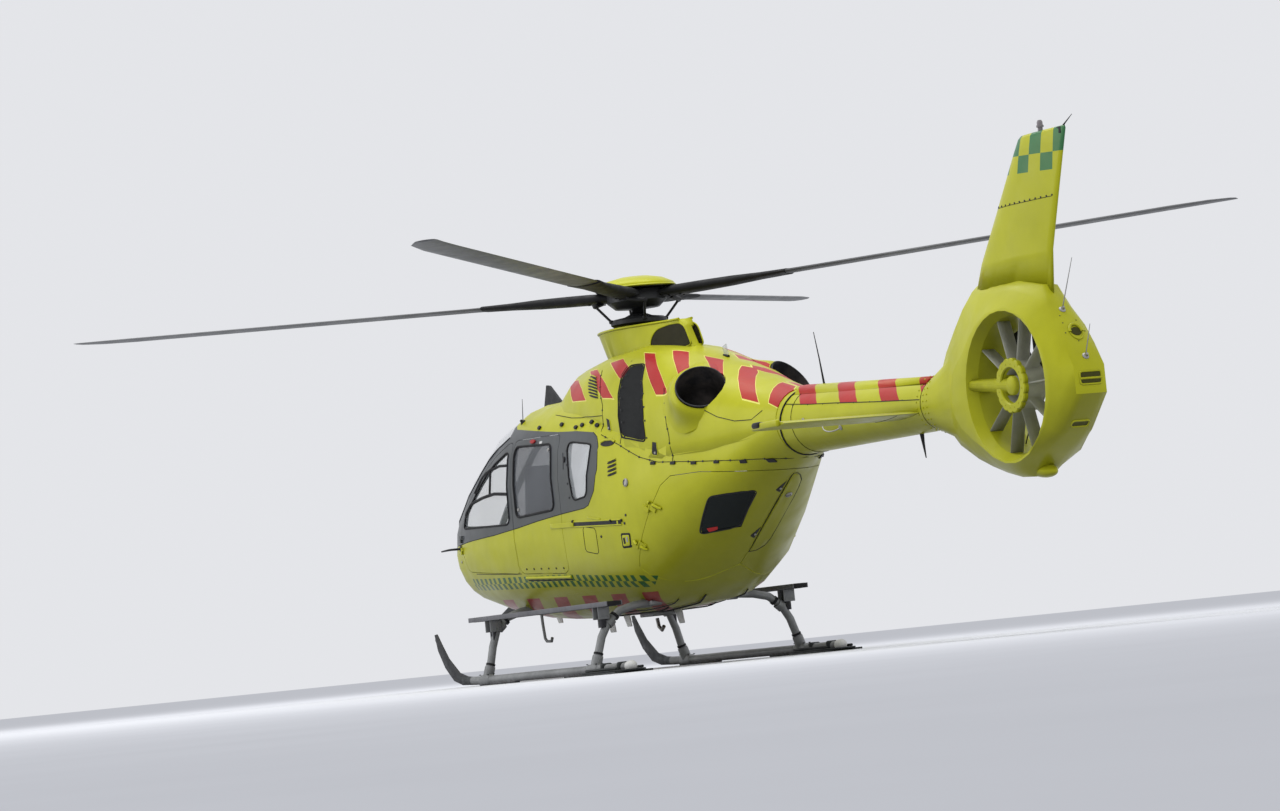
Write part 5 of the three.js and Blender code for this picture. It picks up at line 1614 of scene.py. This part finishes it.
class HELICOPTER_OT_tail_fittings(Operator):
    """Aerials, lights, slots, rivets and rings on the tail"""
    bl_idname = "helicopter.tail_fittings"
    bl_label = "Tail fittings"

    def execute(self, context):
        def aft(x, height):
            return land((x, 7.0, height), (0, -1, 0), ("fenestron_shroud", "vertical_fin"))
        # upper slot with a bar across it, lower slot and air scoop on the shroud's back. The dark olive sheets in the
        # slots and the scoop's mouth are painted shade.
        for name, x, low, high in (("upper", 0.088, 1.706, 1.797), ("lower", 0.072, 1.424, 1.462)):
            outline = softened(((-x, low), (x, low), (x, high), (-x, high)), 0.022)
            patch(f"{name}_slot", outline, 1, 0.002, "slot_shade", seat=aft)
            line_on_side(f"{name}_slot_rim", outline, 1, 0.008, "plain_paint", True, seat=aft, pitch=0.03)
        line_on_side(
            "slot_bar", ((-0.088, 1.747), (0.088, 1.747)), 1, 0.009, "plain_paint", seat=aft, lift=0.003, sides=2,
        )
        patch("scoop_mouth", oval(-0.015, 2.092, 0.085, 0.062), 1, 0.003, "slot_shade", seat=aft)
        hood = [(0.050 * c - 0.012, 2.088 + 0.055 * s) for c, s in circle(24)[:13]]
        line_on_side("scoop_hood", hood, 1, 0.012, "plain_paint", seat=aft, lift=0.004, sides=3, pitch=0.02)
        lip = [(x, 4.176 - z) for x, z in hood]
        line_on_side("scoop_lip", lip, 1, 0.006, "plain_paint", seat=aft, lift=0.002, sides=2, pitch=0.02)
        screws = (
            (-0.09, 2.09), (0.075, 2.085), (-0.02, 2.155), (0.06, 2.16), (-0.06, 2.175), (0.0, 2.02), (-0.085, 2.03),
            (0.05, 2.215),
        )
        studs("scoop_screws", [aft(*spot) for spot in screws], 0.005, "dark_steel")
        for name, height, tall, lean in (
            ("upper", 2.261, 0.40, (0.0, 0.49, 0.87)), ("lower", 1.906, 0.24, (0.0, 0.42, 0.91)),
        ):
            whip(f"fin_whip_{name}", *aft(0.0, height), tall, 0.0045, lean, "bare_steel")
        # blister under the shroud
        points = []
        for row in range(13):
            u = math.pi * row / 12
            points += [
                place(
                    0.075 * math.sin(u) * c, 9.262 - 0.150 * math.cos(u),
                    1.158 + 0.055 * math.sin(u) * s + 0.02 * math.cos(u),
                )
                for c, s in circle(24)
            ]
        settle(net("blister", points, quads(13, 24)), "shroud_blister", "plain_paint", angle=60)
        # fin seam and its rivets
        for side, sign in SIDES:
            def flat(s, z, sign=sign):
                return land((sign * 2.0, s + AFT, z), (-sign, 0, 0), ("vertical_fin",))
            line_on_side(
                f"fin_seam_{side}", ((9.06, 3.067), (9.78, 3.067)), sign, 0.0025, "black_rubber", seat=flat, sides=0,
            )
            studs(f"fin_rivets_{side}", [flat(9.10 + 0.062 * k, 3.075) for k in range(12)], 0.0075, "dark_steel")
        top, _ = land((0.0, 9.69 + AFT, 4.2), (0, 0, -1), ("vertical_fin",))
        turned("fin_beacon", BEACON, top, (0, 0, 1), "beacon_lens", steps=24)
        for name, spots, radius, radii in (
            ("fin_wick", ((0, 9.93, 3.515), (0, 9.985, 3.535), (0, 10.12, 3.60)), 0.004, [2.2, 1.6, 0.5]),
            ("boom_whip", ((0, 6.20, 2.05), (0, 6.16, 2.27), (0, 6.11, 2.49)), 0.006, [1.6, 0.9, 0.5]),
            ("boom_belly_aerial", ((0, 7.60, 1.59), (0, 7.61, 1.50), (0, 7.63, 1.38)), 0.012, [1.7, 1.0, 0.35]),
        ):
            tube(name, path(*spots), radius, "black_plastic", radii=radii)
        rounded_block("fin_wick_foot", place(0, 9.94, 3.512), (0.03, 0.07, 0.05), "black_plastic")
        # boom: root ring, joint rivets, loop aerials, whips
        def radius_at(station):
            t = (station - 5.83) / 2.12
            return 0.258 - 0.063 * t, 1.815 - 0.058 * t
        ring = []
        for c, s in circle(48):
            station = 5.895 + 0.05 * s
            r, height = radius_at(station)
            ring.append(place((r + 0.002) * c, station, height + (r + 0.002) * s))
        tube("boom_root_seal", ring, 0.008, "black_rubber", closed=True, sides=2)
        for number, station in enumerate((7.955, 6.06)):
            r, height = radius_at(min(station, 7.95))
            ring = [place((r + 0.001) * c, station, height + (r + 0.001) * s) for c, s in circle(40)]
            tube(f"boom_seam_{number + 1}", ring, 0.0025, "black_rubber", closed=True, sides=0)
        heads = []
        for station in (7.90, 7.99, 8.04):
            for c, s in circle(26, 0.5):
                out = Vector((c, 0, s))
                heads.append(land(place(0, station, 1.76) + out * 0.8, -out, TAIL_NODES))
        studs("boom_joint_rivets", heads, 0.007, "plain_paint", height=0.008)
        for side, sign in SIDES:
            line = ((5.93, 1.955), (6.3, 1.92), (6.7, 1.893), (7.3, 1.845), (7.94, 1.80))

            def boom(s, z, sign=sign):
                return land((sign * 1.0, s + AFT, z), (-sign, 0, 0), TAIL_NODES)
            line_on_side(f"cover_seam_{side}", line, sign, 0.004, "black_rubber", seat=boom, sides=0)
            studs(
                f"cover_screws_{side}", [boom(6.05 + 0.235 * k, 1.935 - 0.0165 * k) for k in range(8)], 0.006,
                "dark_steel",
            )
            for number, (start, end) in enumerate((((6.25, 1.80), (6.50, 1.765)), ((6.53, 1.755), (6.76, 1.70)))):
                p, n = boom(*start)
                q, m = boom(*end)
                loop = [
                    p.lerp(q, t) + (n.lerp(m, t) * 0.055 - Vector((0, 0, 0.030))) * math.sin(math.pi * t) ** 0.7
                    for t in (k / 12 for k in range(13))
                ]
                rod = tube("loop", loop, 0.005, "bare_steel", sides=2)
                feet = studs("feet", [(p, n), (q, m)], 0.022, "bare_steel", height=0.012)
                joined(f"loop_aerial_{side}_{number + 1}", [rod, feet], "bare_steel")
            # lamps at the stabilisers' tips
            for name, station, height, size, material, bevel in (
                ("tip", 7.64, 1.712, (0.035, 0.40, 0.055), "plain_paint", 0.4),
                ("lamp", 7.52, 1.722, (0.06, 0.12, 0.048), "black_plastic", 0.45),
            ):
                rounded_block(
                    f"stabiliser_{name}_{side}", place(sign * 1.335, station, height), size, material, bevel=bevel,
                )

            def above(x, s, sign=sign, node=f"stabiliser_{side}"):
                return land((sign * x, s + AFT, 1.2), (0, 0, 1), (node,))
            line_on_side(
                f"stabiliser_seam_{side}", ((0.36, 7.55), (0.36, 7.88)), sign, 0.003, "black_rubber", sides=0,
                seat=above,
            )
        return {"FINISHED"}


class HELICOPTER_OT_stator_ring(Operator):
    """Scalloped ring on the hub of the fixed vanes"""
    bl_idname = "helicopter.stator_ring"
    bl_label = "Stator ring"

    def execute(self, context):
        count = 128
        # radius, distance along the axis, and 1 where the radius follows the scallops
        profile = (
            (0.128, 0.140, 0), (0.128, 0.168, 0), (0.136, 0.176, 0), (0.180, 0.176, 1), (0.188, 0.168, 1),
            (0.188, 0.140, 1),
        )
        points = []
        for k, (c, s) in enumerate(circle(count)):
            wave = 0.012 * abs(math.sin(16 * math.pi * k / count)) ** 0.6
            points += [
                place(x, DUCT[0] + (r + wave * outer) * c, DUCT[1] + (r + wave * outer) * s)
                for r, x, outer in profile
            ]
        ring = net("ring", points, quads(count, len(profile), round_rows=True))
        settle(ring, "stator_hub_ring", "plain_paint", angle=30)
        bolts = [
            (place(0.176, DUCT[0] + 0.158 * c, DUCT[1] + 0.158 * s), Vector((1, 0, 0))) for c, s in circle(16, 0.5)
        ]
        studs("stator_ring_bolts", bolts, 0.006, "plain_paint")
        return {"FINISHED"}


# Distances of the skids and the steps from the middle line, and the bore of the sleeves
SKID_LINE = 0.965
STEP_LINE = 0.862
CROSS_TUBE = 0.0355
TOE = (
    (0.555, 0.478), (0.60, 0.335), (0.72, 0.18), (0.88, 0.062), (1.05, 0.020), (1.32, 0.012), (1.36, 0.060),
    (1.20, 0.083), (1.0, 0.13), (0.80, 0.26), (0.67, 0.40), (0.60, 0.482),
)
PAD = (
    (3.66, 0.10), (3.74, 0.170), (4.22, 0.172), (4.40, 0.085), (4.425, 0.0), (4.40, -0.085), (4.22, -0.172),
    (3.74, -0.170), (3.66, -0.10),
)
SKID_CAP = (
    (0.0, 0.062), (0.018, 0.058), (0.036, 0.044), (0.044, 0.022), (0.045, -0.03), (0.038, -0.036), (0.0, -0.036),
)


class HELICOPTER_OT_gear_fittings(Operator):
    """Sleeves, saddles, toe blades, pads and step fittings of the landing gear"""
    bl_idname = "helicopter.gear_fittings"
    bl_label = "Gear fittings"

    def execute(self, context):
        up = Vector((0, 0, 1))
        for side, sign in SIDES:
            def at(x, s, z, sign=sign):
                return place(sign * x, s, z)
            for end, station, height in (("front", 1.552, 0.612), ("rear", 3.65, 0.545)):
                low, high = at(0.958, station, 0.062), at(0.915, station, 0.19)
                along = (high - low).normalized()
                sleeve = (
                    (0.0355, 0.0), (0.043, 0.0), (0.045, 0.012), (0.045, 0.085), (0.043, 0.10), (0.0355, 0.10),
                    (0.0355, 0.0),
                )
                lower, upper = at(0.8396, station, height - 0.165), at(0.7045, station, height - 0.045)
                lean = (upper - lower).normalized()
                for name, profile, spot, axis, material in (
                    ("sleeve", sleeve, low, along, "gear_paint"),
                    ("sleeve_band", band(CROSS_TUBE, 0.040, 0.108, 0.125), low, along, "black_rubber"),
                    ("clamp", band(CROSS_TUBE, 0.044, -0.03, 0.03), lower.lerp(upper, 0.35), lean, "gear_paint"),
                    (
                        "clamp_band", band(CROSS_TUBE, 0.0395, -0.012, 0.012), lower.lerp(upper, 0.72), lean,
                        "black_rubber",
                    ),
                ):
                    turned(f"{end}_{name}_{side}", profile, spot, axis, material, steps=28)
                rounded_block(
                    f"{end}_saddle_{side}", at(SKID_LINE, station, 0.048), (0.088, 0.20, 0.086), "gear_paint",
                    bevel=0.35,
                )
                bolts = [
                    (at(SKID_LINE + dx, station + dy, 0.091), up) for dx in (-0.028, 0.028) for dy in (-0.08, 0.08)
                ]
                studs(f"{end}_saddle_bolts_{side}", bolts, 0.010, "dark_steel")
                # riveted plates that carry the step
                for number, dy in enumerate((-0.048, 0.048)):
                    plate = rounded_block(
                        "plate", at(STEP_LINE, station + dy, 0.505), (0.105, 0.010, 0.115), "gear_paint", bevel=0.3,
                    )
                    spots = [
                        at(STEP_LINE + dx, station + dy * 1.1, 0.505 + dz)
                        for dx in (-0.035, 0.0, 0.035) for dz in (-0.035, 0.035)
                    ]
                    heads = studs(
                        "heads", [(spot, Vector((0, math.copysign(1, dy), 0))) for spot in spots], 0.008,
                        "bare_steel",
                    )
                    joined(f"{end}_step_plate_{side}_{number + 1}", [plate, heads], "gear_paint")
            # toe blade in the bend of the skid, pads and the ball ends of the tubes
            cut_plate(
                f"skid_toe_{side}", [at(SKID_LINE - 0.008, s, z) for s, z in TOE], (sign * 0.016, 0, 0), "dark_steel",
            )
            cut_plate(
                f"skid_pad_{side}", [at(SKID_LINE + w, s, 0.0165) for s, w in PAD], (0, 0, 0.012), "paw_plastic",
            )
            ribs = [at(SKID_LINE + w, 4.0, 0.040) for w in (-0.12, 0.12)]
            blocks(f"pad_rib_{side}", ribs, (0.022, 0.56, 0.022), "paw_plastic", 0.4)
            straps = [at(SKID_LINE, s, 0.056) for s in (3.86, 4.16)]
            blocks(f"pad_strap_{side}", straps, (0.10, 0.05, 0.070), "paw_plastic", 0.35)
            turned(f"skid_cap_{side}", SKID_CAP, at(SKID_LINE, 4.305, 0.050), (0, 1, 0.1), "pale_plastic", steps=28)
            # step: edge strips, ribs, rivets, grips and ends
            edges = [at(STEP_LINE + w, 2.56, 0.567) for w in (-0.067, 0.067)]
            blocks(f"step_edge_{side}", edges, (0.010, 2.70, 0.040), "step_paint", 0.3)
            ribs = [at(STEP_LINE + w, 2.56, 0.5515) for w in (-0.036, 0.0, 0.036)]
            blocks(f"step_rib_{side}", ribs, (0.012, 2.60, 0.012), "dark_steel", 0.3)
            rivets = [(at(STEP_LINE + w, 1.36 + 0.2 * k, 0.5565), -up) for k in range(13) for w in (-0.052, 0.052)]
            studs(f"step_rivets_{side}", rivets, 0.006, "bare_steel")
            spots = [at(STEP_LINE, 1.40 + 0.30 * k, 0.585) for k in range(9)]
            grips = [rounded_block("grip", spot, (0.10, 0.20, 0.005), "black_rubber", bevel=0.3) for spot in spots]
            joined(f"step_grips_{side}", grips, "black_rubber")
            ends = [at(STEP_LINE, s, 0.568) for s in (1.22, 3.90)]
            blocks(f"step_end_{side}", ends, (0.142, 0.018, 0.036), "black_rubber", 0.35)
        return {"FINISHED"}


# Distance of each pipe from the middle line, its first and last station, and its radius
BELLY_PIPES = (
    (0.22, 2.5, 3.6, 0.006), (0.30, 2.8, 3.95, 0.005), (-0.22, 2.5, 3.6, 0.006), (0.10, 3.2, 4.05, 0.007),
    (-0.32, 3.0, 4.0, 0.005),
)


class HELICOPTER_OT_belly_fittings(Operator):
    """Aerials, hook, pipes and probes under the nose and the belly"""
    bl_idname = "helicopter.belly_fittings"
    bl_label = "Belly fittings"

    def execute(self, context):
        def under(x, station):
            return land((x, station + AFT, -0.5), (0, 0, 1), ("belly_shell", "nose_shell", "cabin_structure"))[0]

        def from_point(point, *steps):
            return [point + Vector((0, s, z)) for s, z in steps]
        for number, (x, station, tall, long) in enumerate((
            (0.0, 2.05, 0.13, 0.16), (0.12, 2.62, 0.10, 0.12), (-0.15, 3.05, 0.12, 0.14), (0.0, 1.05, 0.09, 0.12),
        )):
            corners = ((-long / 2, 0.012), (long / 2, 0.012), (long / 2 + 0.03, -tall), (long * 0.1, -tall))
            blade = from_point(under(x, station) - Vector((0.006, 0, 0)), *corners)
            cut_plate(f"belly_aerial_{number + 1}", blade, (0.012, 0, 0), "pale_plastic")
        # bent bracket under the front
        foot = under(0.42, 1.60)
        bends = ((0, 0.01), (0.01, -0.10), (0.03, -0.22), (0.06, -0.245), (0.15, -0.25), (0.17, -0.22))
        tube("belly_bracket", from_point(foot, *bends), 0.013, "gear_paint", sides=3)
        rounded_block("belly_bracket_foot", foot, (0.05, 0.12, 0.03), "gear_paint")
        for number, (x, start, end, r) in enumerate(BELLY_PIPES):
            line = []
            for k in range(13):
                sunk = Vector((0, 0, r * 0.6 + 0.006 * (0 < k < 12)))
                line.append(under(x + 0.02 * math.sin(k * 0.5), start + (end - start) * k / 12) - sunk)
            tube(f"belly_pipe_{number + 1}", line, r, "black_rubber", sides=2)
        mounts = [under(x, s) - Vector((0, 0, 0.008)) for s in (3.56, 3.74) for x in (0.40, -0.40)]
        blocks("tube_mount", mounts, (0.10, 0.05, 0.04), "gear_paint", 0.3)
        eye = under(0.0, 2.95)
        rounded_block("cargo_hook_frame", eye - Vector((0, 0, 0.012)), (0.20, 0.24, 0.035), "gear_paint", bevel=0.25)
        bends = ((0, -0.05), (0.02, -0.12), (0.07, -0.15), (0.11, -0.12))
        tube("cargo_hook", from_point(eye, *bends), 0.016, "bare_steel", sides=3)
        # probes on the nose
        for side, sign in SIDES:
            root, normal = on_side(0.63, 1.205, sign)
            arm = [root - normal * 0.01, root + normal * 0.075]
            arm += from_point(root + normal * 0.09, (-0.04, 0), (-0.20, -0.004))
            tube(f"pitot_{side}", arm, 0.010, "black_plastic", sides=3, radii=[1.2, 1.0, 1.0, 0.7])
            foot = ((0.0, 0.006), (0.030, 0.006), (0.034, 0.0), (0.034, -0.004), (0.0, -0.004))
            turned(f"pitot_foot_{side}", foot, root, normal, "black_plastic", steps=20)
            studs(f"static_port_{side}", [on_side(0.60, 1.09, sign)], 0.014, "bare_steel")
        return {"FINISHED"}


CAMERA_SPOT = (17.476, 32.631, 0.15)
CAMERA_AIM = (0.80, -0.137, 2.108)


class HELICOPTER_OT_stage(Operator):
    """Floor, surround, soft lights and camera"""
    bl_idname = "helicopter.stage"
    bl_label = "Stage"

    def execute(self, context):
        s = context.scene.helicopter_stage
        let_go()
        bpy.ops.mesh.primitive_plane_add(size=400.0)
        floor = context.active_object
        floor.name = "floor"
        f = Finish("pale_floor", rough=0.85)
        f.set("Specular IOR Level", 0.0)
        f.set(
            "Base Color", f.mix(1.0, tuple(s.floor), f.spread(f.noise(0.6, 4.0), 0.3, 0.7, 0.985, 1.015), "MULTIPLY"),
        )
        floor.data.materials.append(f.material)
        world = context.scene.world or bpy.data.worlds.new("surround")
        context.scene.world = world
        world.use_nodes = True
        back = world.node_tree.nodes["Background"]
        back.inputs[0].default_value = (0.776, 0.785, 0.815, 1.0)
        back.inputs[1].default_value = s.sky
        for name, spot, size, power in (
            ("sky_panel", (1.0, -1.0, 14.0), 12.0, 1300.0),
            ("side_panel", (15.0, -9.0, 8.0), 10.0, 700.0),
        ):
            lamp = bpy.data.lights.new(name, "AREA")
            lamp.size = size
            lamp.energy = power
            light = linked(name, lamp)
            light.location = spot
            light.rotation_euler = (Vector((0, 0, 1.5)) - Vector(spot)).to_track_quat("-Z", "Y").to_euler()
        camera = linked("camera", bpy.data.cameras.new("camera"))
        camera.data.lens = s.lens
        camera.data.sensor_width = 36.0
        camera.data.clip_end = 500.0
        camera.location = CAMERA_SPOT
        aim = (Vector(CAMERA_AIM) - Vector(CAMERA_SPOT)).to_track_quat("-Z", "Y")
        camera.rotation_euler = (aim.to_matrix() @ Matrix.Rotation(s.roll, 3, "Z")).to_euler()
        context.scene.camera = camera
        context.scene.view_settings.view_transform = "Standard"
        return {"FINISHED"}


CLASSES = [
    HelicopterColours,
    HelicopterSizes,
    HelicopterStage,
    HELICOPTER_OT_skins,
    HELICOPTER_OT_kept_nodes,
    HELICOPTER_OT_windows,
    HELICOPTER_OT_seams,
    HELICOPTER_OT_side_fittings,
    HELICOPTER_OT_cowling_fittings,
    HELICOPTER_OT_cabin,
    HELICOPTER_OT_rear_door_fittings,
    HELICOPTER_OT_rotor_fittings,
    HELICOPTER_OT_tail_fittings,
    HELICOPTER_OT_stator_ring,
    HELICOPTER_OT_gear_fittings,
    HELICOPTER_OT_belly_fittings,
    HELICOPTER_OT_stage,
]
STEPS = [c for c in CLASSES if issubclass(c, Operator)]


class HELICOPTER_PT_panel(Panel):
    """Lists the pieces of the helicopter"""
    bl_label = "Helicopter"
    bl_idname = "HELICOPTER_PT_panel"
    bl_space_type = "VIEW_3D"
    bl_region_type = "UI"
    bl_category = "Helicopter"

    def draw(self, context):
        for group in ("helicopter_colours", "helicopter_sizes", "helicopter_stage"):
            settings = getattr(context.scene, group)
            for name in settings.__annotations__:
                self.layout.prop(settings, name)
        for step in STEPS:
            self.layout.operator(step.bl_idname)


def register():
    for item in (*CLASSES, HELICOPTER_PT_panel):
        bpy.utils.register_class(item)
    bpy.types.Scene.helicopter_colours = PointerProperty(type=HelicopterColours)
    bpy.types.Scene.helicopter_sizes = PointerProperty(type=HelicopterSizes)
    bpy.types.Scene.helicopter_stage = PointerProperty(type=HelicopterStage)


def unregister():
    for name in ("helicopter_colours", "helicopter_sizes", "helicopter_stage"):
        delattr(bpy.types.Scene, name)
    for item in reversed((*CLASSES, HELICOPTER_PT_panel)):
        bpy.utils.unregister_class(item)


def main():
    register()
    for step in STEPS:
        group, name = step.bl_idname.split(".")
        getattr(getattr(bpy.ops, group), name)()


if __name__ == "__main__":
    main()
